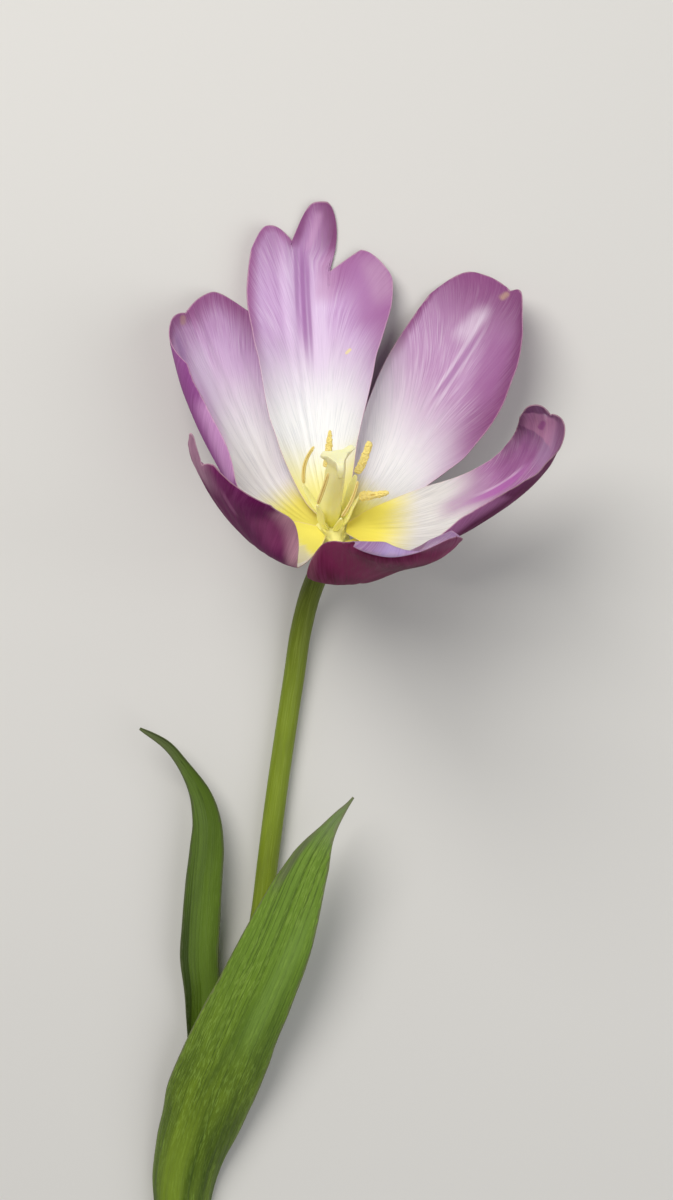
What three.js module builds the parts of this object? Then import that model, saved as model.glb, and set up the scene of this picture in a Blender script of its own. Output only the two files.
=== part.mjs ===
import * as THREE from 'three';

// Millimetres, +Z up. The cut flower lies on the table: the stem runs along -Y,
// its neck lifts the bloom, and the open side of the bloom looks up and away (+Y, +Z).

const centre = [2.3, -51.7, 0];                       // middle of the footprint in the drawing's own frame
const bloom = { at: [-0.8, 16.4, 16.6], tilt: 43 };   // receptacle, and the lift of the flower's axis

// shared helpers
const rad = THREE.MathUtils.degToRad;
const sin = Math.sin, cos = Math.cos, abs = Math.abs, min = Math.min, max = Math.max;
const V = (a) => new THREE.Vector3(...a);

// smooth curve through values at the knots, with no overshoot (monotone cubic)
function track(knots, values, x) {
  const n = knots.length;
  const h = knots.slice(1).map((k, i) => k - knots[i]);
  const d = h.map((w, i) => (values[i + 1] - values[i]) / w);
  const edge = (h0, h1, d0, d1) => {
    const s = ((2 * h0 + h1) * d0 - h0 * d1) / (h0 + h1);
    if (Math.sign(s) !== Math.sign(d0)) return 0;
    return Math.sign(d0) !== Math.sign(d1) && abs(s) > 3 * abs(d0) ? 3 * d0 : s;
  };
  const m = knots.map((_, i) => {
    if (i === 0) return edge(h[0], h[1], d[0], d[1]);
    if (i === n - 1) return edge(h[n - 2], h[n - 3], d[n - 2], d[n - 3]);
    if (d[i - 1] * d[i] <= 0) return 0;
    const a = 2 * h[i] + h[i - 1], b = h[i] + 2 * h[i - 1];
    return (a + b) / (a / d[i - 1] + b / d[i]);
  });
  const q = min(max(x, knots[0]), knots[n - 1]);
  let i = 0;
  while (i < n - 2 && q > knots[i + 1]) i++;
  const t = (q - knots[i]) / h[i], u = 1 - t;
  return (1 + 2 * t) * u * u * values[i] + t * u * u * h[i] * m[i]
    + t * t * (3 - 2 * t) * values[i + 1] - t * t * u * h[i] * m[i + 1];
}
const span = (n) => Array.from({ length: n + 1 }, (_, i) => i / n);

// closed solid from an indexed mesh, faces turned outward
function solid(points, faces) {
  let six = 0;
  for (const [a, b, c] of faces) six += points[a].dot(new THREE.Vector3().crossVectors(points[b], points[c]));
  const g = new THREE.BufferGeometry();
  g.setAttribute('position', new THREE.Float32BufferAttribute(points.flatMap((p) => [p.x, p.y, p.z]), 3));
  g.setIndex(faces.flatMap(([a, b, c]) => (six > 0 ? [a, b, c] : [a, c, b])));
  g.computeVertexNormals();
  return g;
}

// a blade: a grid of middle points made thick both ways along its normal, rim closed,
// and pressed up where its underside would pass through the table
function blade(mid, thick) {
  const rows = mid.length, cols = mid[0].length, pts = [], faces = [];
  const at = (i, j) => mid[min(max(i, 0), rows - 1)][min(max(j, 0), cols - 1)];
  const pairs = mid.map((row, i) => row.map((p, j) => {
    const n = new THREE.Vector3().crossVectors(
      at(i, j + 1).clone().sub(at(i, j - 1)), at(i + 1, j).clone().sub(at(i - 1, j))).normalize();
    const half = thick(i / (rows - 1), 2 * j / (cols - 1) - 1) / 2;
    const a = p.clone().addScaledVector(n, half), b = p.clone().addScaledVector(n, -half);
    const up = max(0, -min(a.z, b.z));
    a.z += up; b.z += up;
    return [a, b];
  }));
  const id = (i, j, s) => 2 * (i * cols + j) + s;
  pairs.forEach((row) => row.forEach((pair) => pts.push(...pair)));
  for (let i = 0; i < rows - 1; i++) for (let j = 0; j < cols - 1; j++) {
    const q = [[i, j], [i, j + 1], [i + 1, j + 1], [i + 1, j]];
    const f = q.map(([a, b]) => id(a, b, 0)), k = q.map(([a, b]) => id(a, b, 1));
    faces.push([f[0], f[1], f[2]], [f[0], f[2], f[3]], [k[0], k[2], k[1]], [k[0], k[3], k[2]]);
  }
  const rim = [];
  for (let j = 0; j < cols - 1; j++) rim.push([[0, j + 1], [0, j]], [[rows - 1, j], [rows - 1, j + 1]]);
  for (let i = 0; i < rows - 1; i++) rim.push([[i, 0], [i + 1, 0]], [[i + 1, cols - 1], [i, cols - 1]]);
  for (const [[a, b], [c, d]] of rim) {
    const p = id(a, b, 0), q = id(c, d, 0), r = id(a, b, 1), s = id(c, d, 1);
    faces.push([p, q, s], [p, s, r]);
  }
  return solid(pts, faces);
}

// a skin over rings of points, both ends closed with a flat fan
function loft(rings) {
  const n = rings[0].length, pts = rings.flat(), faces = [];
  for (let i = 0; i < rings.length - 1; i++) for (let j = 0; j < n; j++) {
    const a = i * n + j, b = i * n + (j + 1) % n, c = a + n, d = b + n;
    faces.push([a, b, d], [a, d, c]);
  }
  const mean = (r) => r.reduce((s, p) => s.add(p), new THREE.Vector3()).divideScalar(r.length);
  pts.push(mean(rings[0]), mean(rings[rings.length - 1]));
  const first = pts.length - 2, last = pts.length - 1, base = (rings.length - 1) * n;
  for (let j = 0; j < n; j++) {
    faces.push([first, (j + 1) % n, j], [last, base + j, base + (j + 1) % n]);
  }
  return solid(pts, faces);
}

// the flower's own frame: X right, Y toward the table side, A along the axis
const tilt = rad(bloom.tilt);
const axisX = V([1, 0, 0]), axisA = V([0, cos(tilt), sin(tilt)]), axisY = V([0, sin(tilt), -cos(tilt)]);
const place = (x, y, a) => V(bloom.at).addScaledVector(axisX, x).addScaledVector(axisY, y).addScaledVector(axisA, a);

// petals
// length and width in mm; widest, fall: where the petal is broadest and how much it narrows after;
// base: width share at its foot; skew: right half wider than the left; root: radius and height of the foot.
// spread: angle from the axis at 0, .15, .4, .7, 1 of the length; turn, twist: at 0, .5, 1;
// cupL, cupR: total bend from midrib to margin at 0, .25, .5, .75, 1; rollL: bend added to it between
// rollFrom and the left margin; neck: share pinched off at the foot; flankR: share added to the right half's width, both at the same places.
// edges: corners and notches of the tip [place across, reach]; crests: the lobe between two of them
// [place across, reach, power of its left side, of its right side, lean of its left edge, of its right edge].
const petals = {
  petal_back: {
    length: 81, width: 37.2, widest: 0.67, base: 0.2, fall: 0.24, skew: -0.03, root: [3.2, 0.9],
    spread: [90, 68, 48, 50, 30], turn: [97, 91, 92], twist: [6, 9, -1],
    cupL: [31, 52, 66, 37, 37], cupR: [35, 71, 59, 21, 24],
    edges: [[-1, 0.85], [-0.416, 0.879], [0.094, 0.782], [1, 0.776]],
    crests: [[-0.76, 0.926, 3.6, 1.7, 0, 0], [-0.13, 0.995, 4, 3, 0.05, 0.28], [0.577, 0.846, 1.1, 1.7, 0, 0]],
  },
  petal_left: {
    length: 67.5, width: 41.2, widest: 0.51, base: 0.26, fall: 0.21, skew: -0.1, root: [3.2, -1.6],
    spread: [93, 79, 48, 45, 42], turn: [140, 127, 122], twist: [-3, 0, -29],
    cupL: [31, 68, 88, 74, 50], cupR: [30, 25, 17, 16, 19], rollL: [0, 10, 45, 35, 0], rollFrom: 0.6,
    edges: [[-1, 0.78], [-0.06, 0.955], [1, 0.88]],
    crests: [[-0.2, 0.962, 2.2, 2, 0, 0], [0.6, 0.993, 2, 2.6, 0, 0]],
  },
  petal_right: {
    length: 74.5, width: 34.1, widest: 0.65, base: 0.24, fall: 0.14, skew: -0.05, root: [3.2, -1.6],
    spread: [93, 72, 54, 52, 48], turn: [49, 47, 61], twist: [-1, -6, 25],
    cupL: [30, 45, 42, 43, 41], cupR: [30, 44, 26, 38, 72],
    edges: [[-1, 0.85], [0.15, 0.966], [1, 0.88]],
    crests: [[-0.4, 0.993, 4.5, 1.6, 0, 0], [0.38, 0.975, 1.5, 2.7, 0, 0]],
  },
  petal_right_front: {
    length: 73.5, width: 26.9, widest: 0.35, base: 0.25, fall: 0.4, skew: 0.12, root: [3.2, 0.9],
    spread: [92, 84, 57, 30, -23], turn: [-7, -5, 6], twist: [-2, -3, -48],
    cupL: [35, 46, 41, 47, 61], cupR: [37, 48, 79, 88, 50], flankR: [0, 0.14, 0.06, 0, 0],
    edges: [[-1, 0.885], [-0.03, 0.942], [1, 0.93]],
    crests: [[-0.55, 0.985, 3.5, 2.6, 0, 0], [0.55, 0.958, 2, 3, 0, 0]],
  },
  petal_front: {
    length: 78, width: 31.2, widest: 0.6, base: 0.28, fall: 0.09, skew: 0.28, root: [3.2, -1.6], neck: 0.12,
    spread: [92, 72, 42.5, 46.5, 15], turn: [-77, -58, -57], twist: [-1, 3, -7],
    cupL: [30, 39, 42, 45, 40], cupR: [30, 33, 77, 63, 44],
    edges: [[-1, 0.7], [1, 0.76]], crests: [[0.15, 1, 1.6, 2, 0, 0]],
  },
  petal_left_front: {
    length: 65, width: 29.5, widest: 0.58, base: 0.25, fall: 0.39, skew: -0.25, root: [3.2, 0.9],
    spread: [93, 74, 31, 22, 2], turn: [-148, -144, -139], twist: [1, 5, 5],
    cupL: [35, 24, 76, 52, 58], cupR: [35, 47, 39, 41, 44],
    edges: [[-1, 0.72], [-0.14, 0.874], [1, 0.62]],
    crests: [[-0.42, 0.905, 1.1, 2, 0, 0], [0.03, 1, 1.6, 1.8, 0, 0]],
  },
};
const k5 = [0, 0.15, 0.4, 0.7, 1], k3 = [0, 0.5, 1], kc = [0, 0.25, 0.5, 0.75, 1];
const ease = (low, high, x) => { const q = min(max((x - low) / (high - low), 0), 1); return q * q * (3 - 2 * q); };

// along and across at a point of the blade: from an edge the tip rises to the lobe's crest and falls
// again; above its notches a lobe leans across by an amount eased with the height
function tipOf(p, u, v) {
  let i = 0;
  while (i < p.crests.length - 1 && u > p.edges[i + 1][0]) i++;
  const [u0, t0] = p.edges[i], [u1, t1] = p.edges[i + 1], [at, far, n0, n1, lean0, lean1] = p.crests[i];
  const top = u < at ? far - (far - t0) * ((at - u) / (at - u0)) ** n0 : far - (far - t1) * ((u - at) / (u1 - at)) ** n1;
  const share = (u - u0) / (u1 - u0), floor = t0 + (t1 - t0) * share;
  const rise = min(max((v * top - floor) / (far - floor), 0), 1);
  return [v * top, u + (lean0 + (lean1 - lean0) * share) * rise * (2 - rise)];
}
function halfWidth(p, t) {
  const rise = sin(Math.PI / 2 * min(t / p.widest, 1));
  const fall = t > p.widest ? 1 - p.fall * ((t - p.widest) / (1 - p.widest)) ** 2 : 1;
  const neck = 1 - (p.neck ?? 0.4) * max(0, 1 - t / 0.07) ** 2;
  return p.width / 2 * (p.base + (1 - p.base) * rise) * fall * neck;
}
// the midrib: steps of equal length, each leaning from the axis by spread and round it by turn
function midrib(p, n = 120) {
  const dir = (t) => {
    const th = rad(track(k5, p.spread, t)), ph = rad(track(k3, p.turn, t));
    return [sin(th) * cos(ph), sin(th) * sin(ph), cos(th)];
  };
  const ph0 = rad(p.turn[0]);
  let q = [p.root[0] * cos(ph0), p.root[0] * sin(ph0), p.root[1]];
  const out = [q];
  for (let i = 1; i <= n; i++) {
    const a = dir((i - 1) / n), b = dir(i / n);
    q = q.map((v, k) => v + (a[k] + b[k]) / 2 * p.length / n);
    out.push(q);
  }
  return (t) => {
    const f = min(t * n, n - 1e-9), i = Math.floor(f), w = f - i;
    return out[i].map((v, k) => v * (1 - w) + out[i + 1][k] * w);
  };
}
// a cross-section is walked from the midrib out in equal steps, its bend growing to the cup angle
function petalPoint(p, rib, across, along) {
  const [t, u] = tipOf(p, across, along);
  const th = rad(track(k5, p.spread, t)), ph = rad(track(k3, p.turn, t)), tw = rad(track(k3, p.twist, t));
  const side = [sin(ph), -cos(ph), 0], inner = [-cos(th) * cos(ph), -cos(th) * sin(ph), sin(th)];
  const flank = u > 0 && p.flankR ? track(kc, p.flankR, t) : 0;
  const half = halfWidth(p, t) * (1 + Math.sign(u) * p.skew * min(t * 3, 1) + flank);
  const cup = track(kc, u < 0 ? p.cupL : p.cupR, t), roll = u < 0 && p.rollL ? track(kc, p.rollL, t) : 0, m = 32;
  let out = 0, up = 0;
  for (let k = 0; k < m; k++) {
    const w = abs(u) * (k + 0.5) / m, bend = rad(cup * w + roll * ease(p.rollFrom ?? 0.7, 1, w));
    out += cos(bend) * half * u / m; up += sin(bend) * half * abs(u) / m;
  }
  const q = rib(t).map((s, k) => s + out * (cos(tw) * side[k] + sin(tw) * inner[k])
    + up * (cos(tw) * inner[k] - sin(tw) * side[k]));
  return place(...q);
}
function petal(p) {
  const rib = midrib(p);
  const us = span(16).map((s) => 2 * s - 1);
  for (const [c] of p.edges.slice(1, -1)) {        // a column runs to the bottom of each notch
    const j = us.reduce((b, x, i) => (abs(x - c) < abs(us[b] - c) ? i : b), 0);
    us[j] = c;
  }
  const vs = span(16).map((s) => s ** 1.1);
  const mid = vs.map((v) => us.map((u) => petalPoint(p, rib, u, v)));
  return blade(mid, (v, u) => 0.7 + 0.4 * (1 - v) * (1 - u * u));
}

// stem
// middle line from the cut end to the neck; the last part follows the flower's axis
const stemLine = new THREE.CatmullRomCurve3([
  [-41.5, -200, 2.6], [-40, -176, 2.6], [-37.5, -154, 2.6], [-35, -139, 2.6], [-30.8, -122, 2.6],
  [-25.2, -107, 2.6], [-21, -91, 2.6], [-18.2, -76, 2.6], [-16.6, -63, 2.6], [-14.4, -46, 2.6],
  [-12.2, -31, 2.6], [-10.2, -18, 2.8], [-8.7, -8, 3.9], [-6.3, 1.5, 6.6], [-3.5, 8, 10.8],
  [-0.8, 12.4, 13.7],
].map(V), false, 'centripetal');
const stemSides = 14;
function ringAt(mid, along, r, n, turn = 0) {
  const side = new THREE.Vector3().crossVectors(along, V([0, 0, 1])).normalize();
  const up = new THREE.Vector3().crossVectors(side, along).normalize();
  return span(n).slice(0, n).map((s) => {
    const a = 2 * Math.PI * s + turn;
    return mid.clone().addScaledVector(side, r * cos(a)).addScaledVector(up, r * sin(a));
  });
}
function stem() {
  const flat = Math.PI / stemSides + Math.PI / 2;          // one facet lies flat on the table
  const rings = span(38).map((t) => {
    const p = stemLine.getPoint(t), r = 2.6 / cos(Math.PI / stemSides);
    const ring = ringAt(p, stemLine.getTangent(t), r, stemSides, flat);
    ring.forEach((q) => { q.z = max(q.z, 0); });
    return ring;
  });
  for (const [a, r] of [[-4.1, 3.4], [-3.2, 4.1], [-2.6, 4.1], [-2.5, 2.85], [0, 2.85], [2, 2.85]]) {
    rings.push(ringAt(place(0, 0, a), axisA, r, stemSides, flat));
  }
  return loft(rings);
}

// leaves
// line: middle points of the blade; half: half width along it; cup: bend to each margin (toward the
// underside); roll: how far the blade turns about its own line
const leaves = {
  leaf_large: {
    line: [[-39.5, -172, 6.1], [-37.7, -156.2, 6.4], [-36.7, -139.9, 7.8], [-31.6, -122.3, 11.5],
      [-22.6, -100.3, 14.5], [-15.1, -83.3, 17], [-6.4, -61.9, 18.5], [-1.7, -54.1, 18.6], [4, -46.8, 18]],
    half: [8, 11.4, 11.2, 12.4, 10.6, 9.1, 5.2, 2.1, 0.3],
    cupL: [125, 115, 82, 60, 40, 35, 30, 20, 10], cupR: [125, 115, 82, 66, 45, 35, 30, 20, 10],
    roll: [0, 0, 0, 0, 4, 8, 20, 35, 45],
  },
  leaf_small: {
    line: [[-38.2, -128, 3], [-33.8, -113, 3], [-32.4, -97, 3.6], [-33, -85.7, 4.4], [-32, -69.4, 5],
      [-31.2, -59.7, 5.4], [-31.3, -52.7, 5.8], [-32.8, -46.7, 6.4], [-37.5, -38.6, 7.4], [-41, -34.5, 8.6],
      [-47.1, -30.8, 10.5]],
    half: [2.2, 2.8, 4.6, 5.2, 5, 4.6, 3.8, 2.9, 1.5, 1.2, 0.3],
    cupL: [-60, -55, -50, -50, -50, -50, -50, -50, -45, -40, -20],
    cupR: [-60, -55, -50, -50, -50, -50, -50, -50, -45, -40, -20],
    roll: [0, 0, 0, 0, 0, 0, 0, 0, 0, 0, 0],
  },
};
function leafPoint(p, curve, u, v) {
  const knots = span(p.line.length - 1);
  const mid = curve.getPoint(v), along = curve.getTangent(v);
  const side = new THREE.Vector3().crossVectors(along, V([0, 0, 1])).normalize();
  const up = new THREE.Vector3().crossVectors(side, along).normalize();
  const roll = rad(track(knots, p.roll, v));
  const right = side.clone().multiplyScalar(cos(roll)).addScaledVector(up, sin(roll));
  const top = up.clone().multiplyScalar(cos(roll)).addScaledVector(side, -sin(roll));
  const half = track(knots, p.half, v), cup = rad(track(knots, u < 0 ? p.cupL : p.cupR, v)), m = 16;
  let across = 0, drop = 0;
  for (let k = 0; k < m; k++) {
    const bend = cup * (k + 0.5) / m * abs(u);
    across += cos(bend) * half * abs(u) / m; drop += sin(bend) * half * abs(u) / m;
  }
  return mid.clone().addScaledVector(right, across * Math.sign(u)).addScaledVector(top, -drop);
}
function leaf(p, rows, cols) {
  const curve = new THREE.CatmullRomCurve3(p.line.map(V), false, 'centripetal');
  const mid = span(rows).map((v) => span(cols).map((s) => leafPoint(p, curve, 2 * s - 1, v)));
  return blade(mid, (v, u) => 0.7 + 0.3 * (1 - u * u) * (1 - v));
}

// pistil: three-sided ovary under three stigma lobes
const pistilForm = {
  turn: 42.5,                                            // where the first lobe points
  lean: [1.2, 0.4],                                      // sideways offset of the top
  rings: [[2.4, 1.1, 0], [3.4, 1.5, 0.04], [5, 2.1, 0.05], [8, 2.6, 0.07], [11, 2.6, 0.09], [16, 2.3, 0.1], [19, 1.9, 0.12],
    [20.6, 1.8, 0.2], [21.8, 2.6, 0.45], [22.8, 3, 0.6], [23.8, 2.7, 0.65], [24.5, 1.6, 0.6]],
};
function pistil() {
  const n = 24;
  return loft(pistilForm.rings.map(([a, r, lobe]) => span(n).slice(0, n).map((s) => {
    const phi = 2 * Math.PI * s, w = (a - 2.3) / 22;
    const out = r * (1 + lobe * cos(3 * (phi - rad(pistilForm.turn))));
    return place(out * cos(phi) + pistilForm.lean[0] * w, out * sin(phi) + pistilForm.lean[1] * w, a);
  })));
}

// stamens: [foot, top of the stalk, tip of the pollen bag] in the flower's frame
const stamens = [
  { foot: 150, top: [-7.1, 4.2, 10.7], tip: [-4.5, 8.7, 19], wide: 0.8 },
  { foot: 92, top: [-1.6, 7.3, 13], tip: [-0.7, 11.8, 21.4], wide: 0.8 },
  { foot: 40, top: [5.4, 5.2, 13], tip: [8.6, 8.8, 20.5], wide: 1.1 },
  { foot: -5, top: [6.1, 0.7, 10.3], tip: [13, -3, 14.8], wide: 1 },
  { foot: -70, top: [1.9, -5.9, 9.2], tip: [5.8, -3.4, 18.6], wide: 0.9 },
  { foot: -140, top: [-3.7, -4.8, 12.4], tip: [-1.1, -4.2, 21.8], wide: 0.8 },
];
function filament(s) {
  const foot = place(2.3 * cos(rad(s.foot)), 2.3 * sin(rad(s.foot)), 2.6);
  const low = place(3.6 * cos(rad(s.foot)), 3.6 * sin(rad(s.foot)), 4.8);
  const top = place(...s.top);
  const curve = new THREE.CatmullRomCurve3([foot, low, foot.clone().lerp(top, 0.62), top]);
  return loft(span(7).map((t) => ringAt(curve.getPoint(t), curve.getTangent(t),
    track([0, 0.25, 1], [0.4, 0.6, 0.34], t), 8)));
}
function anther(s) {
  const top = place(...s.top), tip = place(...s.tip);
  const along = tip.clone().sub(top), from = top.clone().addScaledVector(along.clone().normalize(), 0.5);
  return loft(span(8).map((t) => {
    const r = s.wide * track([0, 0.12, 0.5, 0.88, 1], [0.35, 0.8, 1, 0.85, 0.3], t);
    return ringAt(from.clone().addScaledVector(tip.clone().sub(from), t), along.clone().normalize(), r, 10);
  }));
}

// assembly
const looks = {
  stem: [0x8a9a3c, 0.5], leaf: [0x5f7a4e, 0.55], petal: [0xd9b3dc, 0.5],
  pistil: [0xd8d68a, 0.45], filament: [0xe6cf4a, 0.5], anther: [0xc69a36, 0.85],
};
const flower = new THREE.Group();
flower.name = 'cut_flower';
function add(name, slot, geometry) {
  geometry.translate(-centre[0], -centre[1], -centre[2]);
  const [color, roughness] = looks[slot];
  const mesh = new THREE.Mesh(geometry, new THREE.MeshStandardMaterial({ color, roughness, metalness: 0 }));
  mesh.material.name = slot;
  mesh.name = name;
  flower.add(mesh);
}
add('stem', 'stem', stem());
add('leaf_large', 'leaf', leaf(leaves.leaf_large, 26, 14));
add('leaf_small', 'leaf', leaf(leaves.leaf_small, 26, 10));
for (const [name, p] of Object.entries(petals)) add(name, 'petal', petal(p));
add('pistil', 'pistil', pistil());
stamens.forEach((s, i) => add(`filament_${i + 1}`, 'filament', filament(s)));
stamens.forEach((s, i) => add(`anther_${i + 1}`, 'anther', anther(s)));

export default flower;
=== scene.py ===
import inspect
import bpy
import numpy as np
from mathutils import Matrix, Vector


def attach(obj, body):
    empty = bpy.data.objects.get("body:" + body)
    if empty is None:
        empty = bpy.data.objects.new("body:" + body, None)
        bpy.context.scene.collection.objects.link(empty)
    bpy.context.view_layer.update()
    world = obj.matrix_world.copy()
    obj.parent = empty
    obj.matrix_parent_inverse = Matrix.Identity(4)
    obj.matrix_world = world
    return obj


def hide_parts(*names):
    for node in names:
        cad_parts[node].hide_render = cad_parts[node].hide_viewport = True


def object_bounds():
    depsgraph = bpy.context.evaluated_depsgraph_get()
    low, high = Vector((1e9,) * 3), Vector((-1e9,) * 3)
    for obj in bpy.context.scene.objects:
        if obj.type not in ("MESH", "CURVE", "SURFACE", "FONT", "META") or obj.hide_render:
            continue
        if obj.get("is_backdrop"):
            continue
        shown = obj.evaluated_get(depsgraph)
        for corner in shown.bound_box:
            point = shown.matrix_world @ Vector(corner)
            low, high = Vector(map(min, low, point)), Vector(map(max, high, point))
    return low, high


# A cut tulip laid on a table and seen from above. Lengths in the dictionaries are millimetres
# in the drawing's own frame: X right, Y toward the bloom, Z up. toRow turns them into the row's metres.

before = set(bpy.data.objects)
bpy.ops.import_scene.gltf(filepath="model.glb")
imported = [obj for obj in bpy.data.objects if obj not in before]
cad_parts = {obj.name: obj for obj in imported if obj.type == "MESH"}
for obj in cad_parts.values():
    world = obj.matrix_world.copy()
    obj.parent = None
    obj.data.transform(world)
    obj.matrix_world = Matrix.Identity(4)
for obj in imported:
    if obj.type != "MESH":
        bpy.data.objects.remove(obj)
cadLow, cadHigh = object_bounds()
print("frame:", len(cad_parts), "nodes")

metre = 0.001                                     # one millimetre
centre = np.array([2.3, -51.7, 0.0])              # middle of the footprint
bloom = {"at": [-0.8, 16.4, 16.6], "tilt": 43}    # receptacle, and the lift of the flower's axis


# numbers

def toRow(points):
    return (np.asarray(points, float) - centre) * metre


def smooth(low, high, x):
    t = np.clip((x - low) / (high - low), 0, 1)
    return t * t * (3 - 2 * t)


def even(count):
    return np.linspace(0, 1, count)


def circle(sides):
    return 2 * np.pi * even(sides + 1)[:-1]


def unit(vectors):
    return vectors / np.maximum(np.linalg.norm(vectors, axis=-1, keepdims=True), 1e-12)


# How far an angle lies from a way given in degrees, from minus to plus half a turn.
def angleFrom(way, angle):
    return np.mod(angle - np.radians(way) + np.pi, 2 * np.pi) - np.pi


# Length of a line from its start to each of its points.
def runOf(line):
    return np.concatenate([[0], np.cumsum(np.linalg.norm(np.diff(line, axis=0), axis=1))])


# A value that glides through its knots: cubic between two knots, each inner slope the weighted
# harmonic mean of the chords beside it, so it never overshoots.
def glide(knots, values, x):
    knots, values = np.asarray(knots, float), np.asarray(values, float)
    gap = np.diff(knots)
    rate = np.diff(values) / gap

    def endSlope(g0, g1, r0, r1):
        s = ((2 * g0 + g1) * r0 - g0 * r1) / (g0 + g1)
        if np.sign(s) != np.sign(r0):
            return 0.0
        return 3 * r0 if np.sign(r0) != np.sign(r1) and abs(s) > 3 * abs(r0) else s

    after, before = 2 * gap[1:] + gap[:-1], gap[1:] + 2 * gap[:-1]
    same = rate[:-1] * rate[1:] > 0
    r0, r1 = np.where(same, rate[:-1], 1), np.where(same, rate[1:], 1)
    inner = np.where(same, (after + before) / (after / r0 + before / r1), 0)
    slope = np.concatenate([[endSlope(gap[0], gap[1], rate[0], rate[1])], inner,
                            [endSlope(gap[-1], gap[-2], rate[-1], rate[-2])]])
    q = np.clip(x, knots[0], knots[-1])
    i = np.clip(np.searchsorted(knots, q, side="right") - 1, 0, len(gap) - 1)
    t = (q - knots[i]) / gap[i]
    u = 1 - t
    return ((1 + 2 * t) * u * u * values[i] + t * u * u * gap[i] * slope[i]
            + t * t * (3 - 2 * t) * values[i + 1] - t * t * u * gap[i] * slope[i + 1])


# A wavy line without corners: random heights a spacing apart, eased from one to the next.
def waver(rng, x, spacing):
    q = np.asarray(x) / spacing + 500
    i = np.floor(q).astype(int)
    heights = rng.uniform(-1, 1, 1200)
    f = q - i
    f = f * f * (3 - 2 * f)
    return heights[i % 1200] * (1 - f) + heights[(i + 1) % 1200] * f


# A centripetal spline through the points: each pair is joined by the cubic whose end slopes come from
# the neighbours, with knots spaced by the square root of the chords. Both ends go straight on.
def spline(points, t):
    p = np.asarray(points, float)
    p = np.concatenate([[2 * p[0] - p[1]], p, [2 * p[-1] - p[-2]]])
    q = np.asarray(t, float) * (len(p) - 3)
    i = np.clip(np.floor(q).astype(int), 0, len(p) - 4)
    w = (q - i)[..., None]
    a, b, c, d = p[i], p[i + 1], p[i + 2], p[i + 3]
    chord = np.sqrt(np.linalg.norm(np.diff(p, axis=0), axis=1))
    g0, g1, g2 = chord[i][..., None], chord[i + 1][..., None], chord[i + 2][..., None]
    s1 = ((b - a) / g0 - (c - a) / (g0 + g1) + (c - b) / g1) * g1
    s2 = ((c - b) / g1 - (d - b) / (g1 + g2) + (d - c) / g2) * g1
    return b + s1 * w + (3 * (c - b) - 2 * s1 - s2) * w ** 2 + (2 * (b - c) + s1 + s2) * w ** 3


# The bloom's frame: X right, Y toward the table side, A along the axis of the flower.
tilt = np.radians(bloom["tilt"])
axisX, axisA = np.array([1.0, 0, 0]), np.array([0, np.cos(tilt), np.sin(tilt)])
axisY = np.array([0, np.sin(tilt), -np.cos(tilt)])
flowerAxes = np.array([axisX, axisY, axisA])


def place(points):
    return np.asarray(points, float) @ flowerAxes + np.array(bloom["at"])


# meshes

def makeObject(name, data):
    made = bpy.data.objects.new(name, data)
    bpy.context.scene.collection.objects.link(made)
    return made


# layers: one row of one or three numbers for each point, kept as an attribute.
def makePiece(name, points, faces, material, node, slot, layers, uv=None):
    mesh = bpy.data.meshes.new(name)
    mesh.from_pydata(toRow(points).tolist(), [], faces)
    mesh.polygons.foreach_set("use_smooth", np.ones(len(mesh.polygons), bool))
    if uv is not None:
        corners = np.zeros(len(mesh.loops), int)
        mesh.loops.foreach_get("vertex_index", corners)
        mesh.uv_layers.new(name="blade").data.foreach_set("uv", uv[corners].astype(np.float32).ravel())
    for key, values in layers.items():
        kind, field = ("FLOAT", "value") if values.shape[1] == 1 else ("FLOAT_VECTOR", "vector")
        mesh.attributes.new(key, kind, "POINT").data.foreach_set(field, values.astype(np.float32).ravel())
    mesh.update()
    mesh.materials.append(material)
    piece = makeObject(name, mesh)
    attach(piece, "root")
    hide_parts(node)


def normalsOf(grid):
    return unit(np.cross(np.gradient(grid, axis=1), np.gradient(grid, axis=0)))


# Distance of each point of a grid to the nearest point of its free edge, in millimetres.
def edgeDistance(grid):
    rim = np.concatenate([grid[:, 0], grid[-1], grid[:, -1]])
    return np.array([np.sqrt(((row[:, None] - rim[None]) ** 2).sum(-1).min(1)) for row in grid])


def bladeGrid(across, along, power=1.0):
    return np.meshgrid(even(along) ** power, 2 * even(across) - 1, indexing="ij")


def pieceName(node):
    return "".join(word.capitalize() if i else word for i, word in enumerate(node.split("_")))


# A blade thins from the middle of its foot to its tip, and by a share toward the free edge.
def bladeThickness(foot, edge, tip, footMore, rimShare, rimWidth):
    return (tip + footMore * foot) * (rimShare + (1 - rimShare) * smooth(0, rimWidth, edge))


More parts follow.
